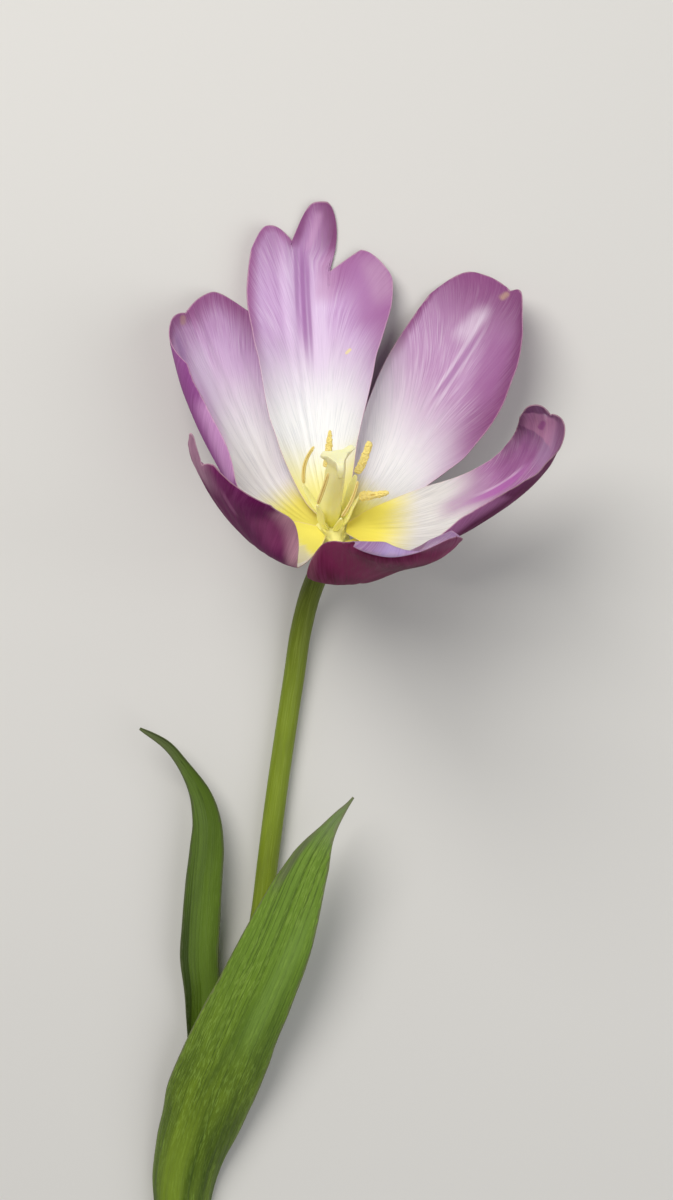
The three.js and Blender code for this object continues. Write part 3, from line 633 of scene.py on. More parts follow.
# Ends, margins and widths are mm on the flattened petal. white, body, deep, yellow: colours of the inner
# face; pale: where white ends in the middle, left and right; deepSpan, marginSpan: where the deep colour
# comes in up the petal and up its margins; foot: colour and reach on the outer face; fine: how much the
# fine lines lighten and darken.
petalSkin = {"fine": [0.24, 8.0, 0.2, 3.4], "broad": [1.7, 20.0, 1.0, 2.2], "streak": 5.0,
             "tipSpan": [40.0, 80.0], "rimWidth": 0.3, "rim": (0.88, 0.76, 0.76), "cell": 0.16,
             "bump": [0.4, 0.05 * metre], "rough": [0.52, 0.64], "specular": 0.07}
footYellow, veinAmounts = (0.95, 0.91, 0.42), [0.18, 0.32]
petalLooks = {
    "petal_back": {
        "body": (0.8, 0.66, 0.82), "deep": (0.63, 0.4, 0.59), "white": (0.94, 0.945, 0.945),
        "footEnd": 14.5, "footSoft": 9, "yellow": (0.97, 0.94, 0.55),
        "pale": [41, 36, 31], "paleSoft": 14, "deepSpan": [56, 88], "margins": [4, 10], "marginSpan": [30, 56],
        "outer": (0.62, 0.4, 0.62), "outerLight": (0.8, 0.66, 0.8), "streaks": 0.3,
        "foot": (0.86, 0.85, 0.62, 5),
        "strokes": [
            [(-5.6, 38), (-5.3, 73), 0.5, 1.5, (0.89, 0.81, 0.91), 0.5],
            [(-0.5, 34), (-0.6, 68), 0.8, 2.0, (0.9, 0.82, 0.92), 0.7],
            [(-3.2, 40), (-3.1, 72), 0.9, 1.2, (0.66, 0.46, 0.67), 0.4],
            [(-4.3, 46), (-3.6, 78), 0.12, 0.45, (0.52, 0.33, 0.54), 0.5],
            [(-3.2, 36), (-2.9, 78), 0.14, 0.45, (0.55, 0.31, 0.56), 0.65],
            [(-2.1, 36), (-2.3, 74), 0.12, 0.4, (0.56, 0.33, 0.57), 0.55],
            [(1.2, 64), (-0.8, 92), 0.5, 2.8, (0.44, 0.22, 0.38), 0.8, 0.3],
            [(0.2, 54), (1.3, 70), 1.0, 1.4, (0.76, 0.59, 0.74), 0.7, 0.3],
            [(-4.3, 68), (-2.8, 90), 0.3, 1.0, (0.48, 0.26, 0.44), 0.8, 0.25],
            [(-2.5, 68), (-1.7, 79), 0.1, 0.7, (0.78, 0.6, 0.75), 0.5, 0.2],
            [(5, 70), (12, 46), 1.2, 6, (0.65, 0.43, 0.63), 0.85, 0.25],
            [(7.4, 69), (12.4, 52), 0.7, 2.6, (0.8, 0.67, 0.76), 0.4],
            [(5.4, 43.1), (6, 43.7), 0.3, 0.2, (0.93, 0.87, 0.62), 0.9, 0],
        ],
    },
    "petal_left": {
        "body": (0.8, 0.65, 0.81), "deep": (0.6, 0.36, 0.55), "white": (0.96, 0.955, 0.96),
        "footEnd": 14, "footSoft": 5,
        "pale": [43, 33, 31], "paleSoft": 15, "deepSpan": [50, 80], "margins": [6, 9], "marginSpan": [36, 62],
        "outer": (0.58, 0.31, 0.56), "outerLight": (0.74, 0.5, 0.73), "streaks": 0.3,
        "foot": (0.86, 0.8, 0.84, 18),
        "outerStrokes": [[(-17.8, 20), (-15.0, 46), 0.6, 3, (0.8, 0.6, 0.78), 0.85, 0.2]],
        "strokes": [
            [(-0.8, 60), (-3, 36), 0.7, 2.2, (0.89, 0.82, 0.91), 0.6],
            [(-4.8, 62), (-4.6, 52), 0.3, 1.2, (0.55, 0.4, 0.62), 0.45],
            [(-6.2, 28), (-4.2, 52), 0.8, 2.6, (0.83, 0.68, 0.84), 0.8, 0.3],
            [(-1.9, 62.6), (-1.6, 63.6), 0.2, 0.9, (0.74, 0.6, 0.5), 0.55, 0],
            [(3.4, 60), (5.5, 42), 0.5, 1.8, (0.84, 0.72, 0.86), 0.35],
        ],
    },
    "petal_right": {
        "body": (0.76, 0.6, 0.75), "deep": (0.55, 0.31, 0.5), "white": (0.94, 0.94, 0.94),
        "footEnd": 12, "footSoft": 5,
        "pale": [33, 41, 22], "paleSoft": 13, "deepSpan": [50, 74], "margins": [3, 15], "marginSpan": [22, 44],
        "outer": (0.58, 0.33, 0.53), "outerLight": (0.8, 0.64, 0.78), "streaks": 0.35,
        "foot": (0.86, 0.85, 0.62, 5),
        "strokes": [
            [(-1.2, 68), (-3.6, 54), 0.4, 1.8, (0.92, 0.86, 0.92), 0.55],
            [(3.4, 66), (7, 41), 1.4, 3.2, (0.63, 0.39, 0.6), 0.75],
            [(-1.2, 71), (-2.7, 34), 0.1, 0.4, (0.92, 0.87, 0.92), 0.5],
            [(0.1, 66), (-1.2, 34), 0.1, 0.4, (0.92, 0.87, 0.92), 0.4],
            [(-0.5, 62), (-1.9, 38), 0.2, 0.5, (0.62, 0.4, 0.62), 0.55],
            [(0.5, 70), (0.9, 70.8), 0.2, 1.0, (0.8, 0.68, 0.54), 0.6, 0],
        ],
    },
    "petal_right_front": {
        "body": (0.68, 0.47, 0.66), "deep": (0.48, 0.3, 0.44), "white": (0.87, 0.86, 0.85),
        "footEnd": 12.5, "footSoft": 6,
        "pale": [33, 31, 38], "paleSoft": 8, "deepSpan": [48, 78], "margins": [5, 4], "marginSpan": [34, 60],
        "outer": (0.36, 0.1, 0.27), "outerLight": (0.58, 0.3, 0.5), "streaks": 0.3,
        # the foot's yellow is brighter here than on the other petals: painted light, making up for the shade
        # over this petal's foot
        "yellow": (0.99, 0.94, 0.4), "foot": (0.86, 0.85, 0.62, 5),
        "outerStrokes": [
            [(11.6, 26), (9.4, 50), 0.8, 2.2, (0.68, 0.43, 0.62), 0.85, 0.12],
            [(9.8, 44), (8.6, 64), 0.5, 2, (0.52, 0.3, 0.46), 0.4, 0.2]],
        "strokes": [
            [(-7.2, 37), (-3.2, 60), 1.2, 2.6, (0.58, 0.33, 0.55), 0.6],
            [(-6.6, 40), (-4.4, 20), 0.8, 3.2, (0.68, 0.49, 0.67), 0.65, 0.35],
            [(-4.7, 27), (-1.6, 54), 0.5, 0.8, (0.7, 0.4, 0.69), 0.8],
            [(-5.6, 30), (-2.6, 52), 0.12, 0.4, (0.9, 0.8, 0.9), 0.5],
            [(-0.4, 68), (0.4, 50), 1.0, 1.8, (0.68, 0.55, 0.69), 0.65],
            # painted highlight: a small pale pink glint on the fold at the tip
            [(-1.7, 67), (-1.5, 68.5), 0.2, 0.5, (0.88, 0.76, 0.87), 0.8, 0],
            [(-2.6, 69), (-3.2, 60), 2.2, 3, (0.78, 0.56, 0.7), 0.85, 0.1],
            [(-3.0, 63.2), (-2.3, 65.4), 0.3, 0.7, (0.6, 0.28, 0.56), 0.7, 0],
        ],
    },
    "petal_front": {
        "body": (0.67, 0.55, 0.69), "deep": (0.6, 0.46, 0.63), "white": (0.9, 0.88, 0.86), "rim": 0.15,
        "footEnd": 16, "footSoft": 5, "fine": [0.32, 0.36],
        "pale": [26, 18, 20], "paleSoft": 9, "deepSpan": [40, 78], "margins": [4, 4], "marginSpan": [30, 50],
        "outer": (0.42, 0.06, 0.25), "outerLight": (0.62, 0.28, 0.46), "streaks": 0.5,
        "foot": (0.8, 0.78, 0.5, 5),
        "strokes": [
            [(9.0, 62), (4.4, 76), 0.5, 2.4, (0.7, 0.63, 0.82), 0.7, 0.5],
            [(-12.6, 31), (-12.2, 42), 1.2, 2, (0.42, 0.2, 0.36), 0.6, 0.3],
        ],
        "outerStrokes": [
            [(12, 56), (6, 30), 1.5, 6, (0.56, 0.12, 0.35), 0.8, 0.3],
            # painted shadow: a dark streak up the outer face toward the tip, standing in for the shade there
            [(3.2, 68), (0.5, 42), 0.8, 3.4, (0.3, 0.08, 0.18), 0.7, 0.3],
            [(14, 42), (12.8, 20), 0.1, 1.6, (0.6, 0.38, 0.44), 0.5],
            [(4, 79), (-5, 73), 1, 4, (0.5, 0.3, 0.41), 0.6, 0],
        ],
    },
    "petal_left_front": {
        "body": (0.8, 0.67, 0.79), "deep": (0.6, 0.38, 0.55), "white": (0.93, 0.91, 0.86),
        "footEnd": 8, "footSoft": 2.5,
        "pale": [34, 26, 24], "paleSoft": 9, "deepSpan": [40, 66], "margins": [4, 4], "marginSpan": [30, 50],
        "outer": (0.43, 0.08, 0.33), "outerLight": (0.6, 0.28, 0.5), "streaks": 0.35,
        "foot": (0.8, 0.78, 0.5, 5),
        "strokes": [[(-3, 9.5), (-13, 13), 3, 2, (0.88, 0.85, 0.68), 0.85, 0.05]],
        "outerStrokes": [
            [(-8.5, 44), (-9.5, 22), 1.0, 3.4, (0.66, 0.3, 0.5), 0.8],
            [(-12, 46), (-14, 16), 1.2, 2.8, (0.88, 0.66, 0.72), 0.9, 0.2],
            [(1.8, 78), (0.2, 44), 1.2, 3.4, (0.76, 0.57, 0.67), 0.85, 0.3],
            [(-3.6, 53), (-4.2, 39), 0.12, 0.4, (0.66, 0.4, 0.56), 0.6],
        ],
    },
}


def petalMaterial(name, look, seed):
    material, tree = newMaterial(name)
    position, lines = readLayer(tree, "bladeMm", "Vector"), readLayer(tree, "veinMm", "Vector")
    side, level, outside = (readLayer(tree, key) for key in ("acrossShare", "fanLevel", "outerFace"))
    fine = veins(lines, *petalSkin["fine"], seed * 1.7, level)
    broad = veins(lines, *petalSkin["broad"], seed * 2.3, level)
    spans = {"pale": ["paleMiddle", "paleLeft", "paleRight"], "deepSpan": ["deepFrom", "deepTo"],
             "margins": ["marginLeft", "marginRight"], "marginSpan": ["marginFrom", "marginTo"],
             "fine": ["veinLight", "veinDark"]}
    numbers = {key: value for span, keys in spans.items()
               for key, value in zip(keys, look.get(span, veinAmounts))}
    inner = useGroup(
        tree, "petalInside", position=position, side=side, fine=fine, broad=broad, streak=petalSkin["streak"],
        foot=display(*look.get("yellow", footYellow)), pale=display(*look["white"]),
        body=display(*look["body"]), deep=display(*look["deep"]), footEnd=look["footEnd"],
        footSoft=look["footSoft"], paleSoft=look["paleSoft"], **numbers)
    main, light, foot = look["outer"], look["outerLight"], look["foot"]
    tip = [0.75 * a + 0.25 * b for a, b in zip(main, light)]
    outer = useGroup(
        tree, "petalOutside", position=position, fine=fine, broad=broad, main=display(*main),
        light=display(*light), foot=display(*foot[:3]), tip=display(*tip), footEnd=float(foot[3]),
        tipFrom=petalSkin["tipSpan"][0], tipTo=petalSkin["tipSpan"][1], streaks=look["streaks"])
    inner = brush(inner, look["strokes"], position, fine)
    outer = brush(outer, look.get("outerStrokes", []), position, fine)
    rim = useGroup(tree, "thinRim", position=position, width=petalSkin["rimWidth"]) * look.get("rim", 0.3)
    colour = layered(outside.colours(inner, outer), (rim, petalSkin["rim"]))
    height = fine * 0.5 + useGroup(tree, "skinCells", cell=petalSkin["cell"], strength=0.25)
    return finishMaterial(material, colour, height, petalSkin["bump"], {
        "Roughness": fine.ramp(0, 1, *petalSkin["rough"], how="LINEAR"),
        "Specular IOR Level": petalSkin["specular"]})


def makePetal(node, p, look):
    v, u = bladeGrid(**petalGrid)
    middle, t, inward = petalMiddle(p, u, v)
    edge, normal = edgeDistance(middle), normalsOf(middle)
    inside = np.sign((normal * inward).sum())
    vein = p["width"] / 2 * u / (1 + t ** 2.2)
    fan = np.exp(np.where(u < 0, *p["fan"]) * np.maximum(0, t - 0.2) ** 1.5)
    middle = middle + inside * normal * petalRelief(p, u, t, vein, edge)[..., None]
    if "flip" in p:
        middle = flipTip(p, u, v, middle, inside * normal, t)
    thickness = bladeThickness((1 - v) * (1 - u * u), edge, **petalThickness)
    mm = t * p["length"]
    layers = {"bladeMm": np.stack([vein, mm, edge], -1), "acrossShare": u, "fanLevel": np.log2(fan),
              "veinMm": np.stack([p["width"] / 2 * u / fan, mm, 0 * u], -1)}
    bladePiece(node, "petal", middle, thickness, petalMaterial(pieceName(node) + "Skin", look, p["seed"]),
               u, t, layers, [0.0, 1.0] if inside > 0 else [1.0, 0.0])


for node, p in petals.items():
    makePetal(node, p, petalLooks[node])
print("petals:", len(petals))


# stem

# line: middle of the stem from the cut end to the neck; crown: [height on the flower's axis, radius];
# swell: [height, mm] of the bulges under the petals, swellWays: [direction, width in degrees] of each;
# cutRings: radii of the rings over the cut, as shares, cutDip: how far it bulges inward.
stem = {
    "line": [[-41.5, -200, 2.6], [-40, -176, 2.6], [-37.5, -154, 2.6], [-35, -139, 2.6], [-30.8, -122, 2.6],
             [-25.2, -107, 2.6], [-21, -91, 2.6], [-18.2, -76, 2.6], [-16.6, -63, 2.6], [-14.4, -46, 2.6],
             [-12.2, -31, 2.6], [-10.2, -18, 2.8], [-8.7, -8, 3.9], [-6.3, 1.5, 6.6], [-3.5, 8, 10.8],
             [-0.8, 12.4, 13.7]],
    "radius": 2.6, "crown": [[-4.1, 3.2], [-3.2, 4.0], [-2.7, 4.05], [-2.25, 2.9], [-1, 2.85], [-0.75, 3.35],
                             [-0.3, 3.4], [0.15, 2.95], [0.4, 2.8], [1.5, 2.8], [2, 2.6]],
    "swell": [[-0.75, 0], [-0.5, 1.3], [-0.1, 1.45], [0.6, 1.1], [1.2, 0.5], [1.8, 0]],
    "swellWays": [[-77, 24], [140, 20], [49, 20]],
    "cutRings": [0.08, 0.3, 0.6, 0.9, 0.97], "cutDip": 0.35, "sides": 56, "steps": 300, "crownSteps": 70,
    "low": (0.39, 0.46, 0.09), "main": (0.46, 0.53, 0.1), "neck": (0.28, 0.31, 0.07),
    "dull": (0.38, 0.42, 0.13), "fine": (0.64, 0.7, 0.3), "speck": (0.66, 0.7, 0.38),
    "crownColour": (1.0, 0.98, 0.62), "flesh": (0.82, 0.84, 0.6), "fleshSpots": (0.58, 0.63, 0.36),
    "fineLines": [0.28, 9.0, 0.4, 2.4, 3.1], "broadLines": [2.6, 22.0, 2.0, 2.4, 8.2],
    "bump": [0.5, 0.07 * metre], "rough": [0.38, 0.52],
}


def stemMaterial():
    material, tree = newMaterial("stemSkin")
    position, cut = readLayer(tree, "bladeMm", "Vector"), readLayer(tree, "cutFace")
    y = position.split()[1]
    fine, broad = veins(position, *stem["fineLines"]), veins(position, *stem["broadLines"])
    specks = noise(position, 3.2, 2.0)
    flesh = layered(display(*stem["flesh"]), (specks.ramp(0.5, 0.62), stem["fleshSpots"]))
    colour = layered(
        display(*stem["low"]), (y.ramp(0, 90), stem["main"]), (y.ramp(168, 222), stem["neck"]),
        (broad.ramp(0.45, 0.9) * 0.35, stem["dull"]), (fine.ramp(0.4, 1) * 0.22, stem["fine"]),
        (specks.ramp(0.66, 0.74, 0, 0.3), stem["speck"]), (y.ramp(220.5, 222.5), stem["crownColour"]),
        (cut, flesh))
    height = fine + useGroup(tree, "skinCells", cell=0.14, strength=0.4)
    return finishMaterial(material, colour, height, stem["bump"], {
        "Roughness": broad.ramp(0, 1, *stem["rough"], how="LINEAR"), "Specular IOR Level": 0.25})


# The stem's rings follow its line, the crown's rings the flower's axis. The bulges are the swell's profile
# times a flat-topped bump round each of their ways.
def makeStem():
    rng = np.random.default_rng(21)
    line = spline(stem["line"], even(stem["steps"]))
    crown, swell = np.array(stem["crown"], float), np.array(stem["swell"], float)
    heights = np.linspace(crown[0, 0], crown[-1, 0], stem["crownSteps"])
    top = place(heights[:, None] * [0, 0, 1])
    along, turn = runOf(line), circle(stem["sides"])
    radius = stem["radius"] + 0.05 * waver(rng, along, 30)
    ridge = 0.03 * waver(rng, turn * 2.6, 0.8)
    rings = ringsOn(line, radius[:, None] + ridge, stem["sides"])
    bumps = sum(np.exp(-(angleFrom(way, -turn) / np.radians(wide)) ** 4) for way, wide in stem["swellWays"])
    crownRadius = glide(*crown.T, heights)[:, None] + glide(*swell.T, heights)[:, None] * bumps
    ways = np.tile(axisX, (len(top), 1)), np.tile(-axisY, (len(top), 1))
    rings = np.concatenate([rings, ringsOn(top, crownRadius, stem["sides"], ways)])
    rings[..., 2] = np.maximum(rings[..., 2], 0)
    shrink, middle = np.array(stem["cutRings"])[:, None, None], rings[0].mean(0)
    cap = middle + (rings[0] - middle) * shrink + unit(line[1] - line[0]) * stem["cutDip"] * (1 - shrink ** 3)
    rings = np.concatenate([cap, rings])
    along = np.concatenate([np.zeros(len(cap)), along, along[-1] + 1 + heights - heights[0]])[:, None]
    around = np.abs(turn - np.pi) * stem["radius"]
    cut = np.zeros(rings.shape[:2])
    cut[:len(cap)] = 1
    tubePiece("tulipStem", rings, stemMaterial(), "stem", "stem",
              {"bladeMm": np.stack(np.broadcast_arrays(around, along, 0.0), -1), "cutFace": cut})


makeStem()
print("stem")


# leaves

# line: middle points of the blade; half: half width along it; cupL, cupR: bend to each margin, toward
# the underside; roll: how far the blade turns about its own line; ruffle: [height, length] of margin waves.
leaves = {
    "leaf_large": {
        "line": [[-39.5, -172, 6.1], [-37.7, -156.2, 6.4], [-36.7, -139.9, 7.8], [-31.6, -122.3, 11.5],
                 [-22.6, -100.3, 14.5], [-15.1, -83.3, 17], [-6.4, -61.9, 18.5],
                 [-1.7, -54.1, 18.6], [4, -46.8, 18]],
        "half": [8, 11.4, 11.2, 12.4, 10.6, 9.1, 5.2, 2.1, 0.3],
        "cupL": [125, 115, 82, 60, 40, 35, 30, 20, 10], "cupR": [125, 115, 82, 66, 45, 35, 30, 20, 10],
        "roll": [0, 0, 0, 0, 4, 8, 20, 35, 45], "grid": [101, 261], "ruffle": [0.3, 14], "seed": 31,
        "ribs": 0.07, "dark": (0.26, 0.34, 0.06), "main": (0.41, 0.5, 0.11), "pale": (0.42, 0.55, 0.17),
        "paleSpan": [50, 100], "vein": (0.2, 0.28, 0.05), "bloom": (0.52, 0.63, 0.26), "bloomAmount": 0.5,
        "tip": (0.42, 0.48, 0.32), "tipSpan": [116, 134], "edge": (0.42, 0.43, 0.3),
        "strokes": [
            [(-4, -12), (-2.5, 60), 1.6, 3.0, (0.5, 0.59, 0.17), 0.6],
            [(3, 62), (5.5, 112), 0.8, 2.4, (0.48, 0.6, 0.26), 0.45],
            [(-7, 104), (-3, 128), 0.5, 1.6, (0.36, 0.38, 0.27), 0.75],
        ],
    },
    "leaf_small": {
        "line": [[-38.2, -128, 3], [-33.8, -113, 3], [-32.4, -97, 3.6], [-33, -85.7, 4.4], [-32, -69.4, 5],
                 [-31.2, -59.7, 5.4], [-31.3, -52.7, 5.8], [-32.8, -46.7, 6.4], [-37.5, -38.6, 7.4],
                 [-41, -34.5, 8.6], [-47.1, -30.8, 10.5]],
        "half": [2.2, 2.8, 4.6, 5.2, 5, 4.6, 3.8, 2.9, 1.5, 1.2, 0.3],
        "cupL": [-60, -55, -50, -50, -50, -50, -50, -50, -45, -40, -20],
        "cupR": [-60, -55, -50, -50, -50, -50, -50, -50, -45, -40, -20],
        "roll": [0] * 11, "grid": [71, 201], "ruffle": [0.15, 12], "seed": 32,
        "ribs": 0.03, "dark": (0.29, 0.38, 0.09), "main": (0.36, 0.46, 0.12), "pale": (0.33, 0.42, 0.13),
        "paleSpan": [50, 90], "vein": (0.26, 0.34, 0.09), "bloom": (0.42, 0.52, 0.22), "bloomAmount": 0.2,
        "tip": (0.38, 0.41, 0.27), "tipSpan": [84, 104], "edge": (0.33, 0.36, 0.22),
        "strokes": [
            [(-4.6, -10), (-4.4, 72), 1.1, 0.8, (0.19, 0.25, 0.06), 0.85],
            [(0.6, 5), (0.8, 70), 0.8, 2, (0.4, 0.51, 0.15), 0.5],
        ],
    },
}
leafThickness = {"tip": 0.42, "footMore": 0.38, "rimShare": 0.5, "rimWidth": 1.5}   # mm; a share at the rim
leafSkin = {"lines": [0.42, 70.0, 0.3, 3.0, 5.0], "dashes": [0.3, 2.2, 0.3, 3.0, 6.3],
            "bands": [3.4, 26.0, 2.0, 2.6, 2.4], "rimWidth": 0.6, "cell": 0.18, "bump": [0.6, 0.1 * metre],
            "rough": [0.38, 0.56], "specular": 0.25}


# A leaf is carried along its line: each cross-section is an arc whose bend grows from none in the
# middle to the cup angle at the margin, rolled about the line.
def leafMiddle(p, u, v):
    knots, column, step = even(len(p["line"])), v[:, 0], 1e-4
    line = spline(p["line"], column)
    along = spline(p["line"], np.minimum(column + step, 1)) - spline(p["line"], np.maximum(column - step, 0))
    side = unit(np.cross(along, [0, 0, 1]))
    up = unit(np.cross(side, along))
    roll = np.radians(glide(knots, p["roll"], column))[:, None]
    right, top = side * np.cos(roll) + up * np.sin(roll), up * np.cos(roll) - side * np.sin(roll)
    half = glide(knots, p["half"], v)
    cup = np.radians(np.where(u < 0, *(glide(knots, p[key], v) for key in ("cupL", "cupR"))))
    out = (half * np.sin(cup * np.abs(u)) / cup * np.sign(u))[..., None]
    drop = (half * (1 - np.cos(cup * np.abs(u))) / cup)[..., None]
    return line[:, None] + out * right[:, None] - drop * top[:, None], half, line


def leafMaterial(name, look):
    material, tree = newMaterial(name)
    position = readLayer(tree, "bladeMm", "Vector")
    y = position.split()[1]
    lines, dashes, bands = (veins(position, *leafSkin[key]) for key in ("lines", "dashes", "bands"))
    patches = noise(position, 0.11, 3.0, Distortion=0.5)
    wax = dashes.ramp(0.5, 0.95) * bands.ramp(0.2, 0.8, 0.3, 1) * look["bloomAmount"]
    ground = layered(
        display(*look["dark"]), (bands, look["main"]), (patches.ramp(0.45, 0.7, 0, 0.45), look["dark"]),
        (y.ramp(*look["paleSpan"]) * 0.75, look["pale"]), (lines.ramp(0.45, 0.95) * 0.55, look["vein"]),
        (wax, look["bloom"]))
    ground = brush(ground, look["strokes"], position)
    rim = useGroup(tree, "thinRim", position=position, width=leafSkin["rimWidth"])
    ground = layered(ground, (y.ramp(*look["tipSpan"], 0, 0.8), look["tip"]), (rim * 0.7, look["edge"]))
    height = useGroup(tree, "skinCells", cell=leafSkin["cell"], strength=0.3) - lines + dashes * 0.3
    return finishMaterial(material, ground, height, leafSkin["bump"], {
        "Roughness": dashes.ramp(0, 1, *leafSkin["rough"], how="LINEAR"),
        "Specular IOR Level": leafSkin["specular"]})


# Its relief: ribs, a keel along the middle, a slow billow and waves at the free margin.
def makeLeaf(node, p):
    rng = np.random.default_rng(p["seed"])
    v, u = bladeGrid(*p["grid"])
    middle, half, line = leafMiddle(p, u, v)
    along, edge = runOf(line)[:, None] + 0 * u, edgeDistance(middle)
    ribs = p["ribs"] * waver(rng, u * max(p["half"]), 0.9) * smooth(0, 1.5, edge)
    keel = -0.2 * np.exp(-(u * half / 0.7) ** 2)
    wave = p["ruffle"][0] * waver(rng, along + 200 * np.sign(u), p["ruffle"][1] / 2) * np.exp(-edge / 3)
    billow = 0.3 * waver(rng, along + 4 * u, 22) * waver(rng, u * 9 + 30, 8)
    ends = smooth(0, 0.06, v) * smooth(0, 0.1, 1.02 - v)
    shift = (ribs + keel + billow + wave * smooth(0.05, 0.2, v)) * ends
    middle = middle + normalsOf(middle) * shift[..., None]
    thickness = bladeThickness((1 - u * u) * (1 - v), edge, **leafThickness)
    sheet = np.stack([u * half / glide([0, 0.4, 1], [0.75, 1, 0.35], v), along, edge], -1)
    material = leafMaterial(pieceName(node) + "Skin", p)
    bladePiece(node, "leaf", middle, thickness, material, u, v, {"bladeMm": sheet})


for node, p in leaves.items():
    makeLeaf(node, p)
print("leaves:", len(leaves))


# pistil

# ovary: [height, radius, three-sidedness]; turn: where its first side points; lean: [height, right, down];
# lobes: [direction, reach, tip height, width]; crest: height of their top;
# colours: [height from, to, colour].
pistil = {
    "ovary": [[2.4, 1.25, 0], [3.4, 1.6, 0.04], [5, 2.2, 0.05], [8, 2.6, 0.07], [11, 2.5, 0.09],
              [15, 2.4, 0.1], [18, 2.3, 0.12], [20.6, 2.05, 0.14]],
    "turn": 42.5, "crest": 23.6, "neck": 20.6, "sides": 144,
    "stalkSteps": 70, "underSteps": 25, "overSteps": 32,
    "lean": [[2.4, 0, 0], [4.5, -0.55, 0.1], [7, -0.55, 0.15], [14, 0.25, 0.3], [21, 0.95, 0.4],
             [25, 1.2, 0.4]],
    "lobes": [[42.5, 4.2, 23.9, 1.25], [163, 3.3, 23.1, 1.2], [-76, 3.4, 20.4, 1.15]],
    "foot": (0.98, 0.96, 0.52), "down": (0.97, 0.96, 0.8),
    "colours": [[3, 9, (0.97, 0.95, 0.62)], [10, 19, (0.94, 0.92, 0.62)], [20.5, 22.5, (0.95, 0.94, 0.74)]],
}


# The ovary is a stack of rings, three-sided by a cosine of three times the angle. Above its neck the
# surface runs out under each stigma lobe, round its edge and back over its ridge to the crest.
def pistilRings(p):
    phi = circle(p["sides"])
    heights, radii, sides = np.array(p["ovary"]).T
    a = np.linspace(heights[0], heights[-1], p["stalkSteps"])
    r, side = glide(heights, radii, a)[:, None], glide(heights, sides, a)[:, None]
    third = phi - np.radians(p["turn"])
    crease = np.exp(-((np.mod(third + np.pi / 3, 2 * np.pi / 3) - np.pi / 3) / 0.16) ** 2)
    stalk = r * (1 + side * np.cos(3 * third) - 0.05 * crease * smooth(0, 0.2, side))
    rise = a[:, None] + 0 * phi
    outward, back = even(p["underSteps"] + 1)[1:], even(p["overSteps"] + 2)[::-1][1:-1]
    share = np.concatenate([outward, back])[:, None]
    under = (np.arange(len(share)) < len(outward))[:, None]
    neck = stalk[-1][None]
    reach, lift, furrow = 0 * phi, 0 * phi, 0 * phi
    for way, far, tall, wide in p["lobes"]:
        off = angleFrom(way, phi)
        hump = np.exp(-(off * far * 0.62 / wide * 2) ** 4 * 0.6) * np.cos(np.clip(off, -1, 1)) ** 2
        reach = np.maximum(reach, hump * (far - 1.7))
        lift = lift + hump * (tall - p["crest"])
        furrow = furrow + 0.3 * np.exp(-(off * far / 0.35) ** 2)
    tipRadius, tipHeight = neck + 0.25 + reach, p["crest"] - 0.9 + lift
    low = neck + (tipRadius - neck) * share
    lowRise = p["neck"] + (tipHeight - p["neck"]) * share ** 0.8
    high = tipRadius * np.sqrt(np.clip(1 - (1 - share) ** 2, 0, 1))
    ridge = 0.75 * np.sqrt(np.clip(1 - share ** 4, 0, 1))
    highRise = (p["crest"] + lift * share ** 1.7 - 0.9 + ridge - 0.35 * (1 - share)
                - furrow * share * (1 - share ** 6))
    radius = np.concatenate([stalk, np.where(under, low, high)])
    height = np.concatenate([rise, np.where(under, lowRise, highRise)])
    at, right, down = np.array(p["lean"]).T
    return place(np.stack([radius * np.cos(phi) + glide(at, right, height),
                           radius * np.sin(phi) + glide(at, down, height), height], -1)), height


def pistilMaterial():
    material, tree = newMaterial("pistilSkin")
    height, at = readLayer(tree, "heightMm"), objectPoint(tree)
    coats = [(height.ramp(low, high), colour) for low, high, colour in pistil["colours"]]
    colour = layered(display(*pistil["foot"]), *coats,
                     (noise(at, 500.0, 3.0).ramp(0.4, 0.7, 0, 0.25), pistil["down"]))
    fuzz = noise(at, 5200.0, 2.0) * height.ramp(20.5, 22, 0.15, 1)
    return finishMaterial(material, colour, fuzz, [0.6, 0.1 * metre], {
        "Roughness": 0.42, "Subsurface Weight": 0.25, "Subsurface Radius": (0.9, 0.8, 0.3),
        "Subsurface Scale": metre})


rings, height = pistilRings(pistil)
tubePiece("tulipPistil", rings, pistilMaterial(), "pistil", "pistil", {"heightMm": height})
print("pistil")


# stamens

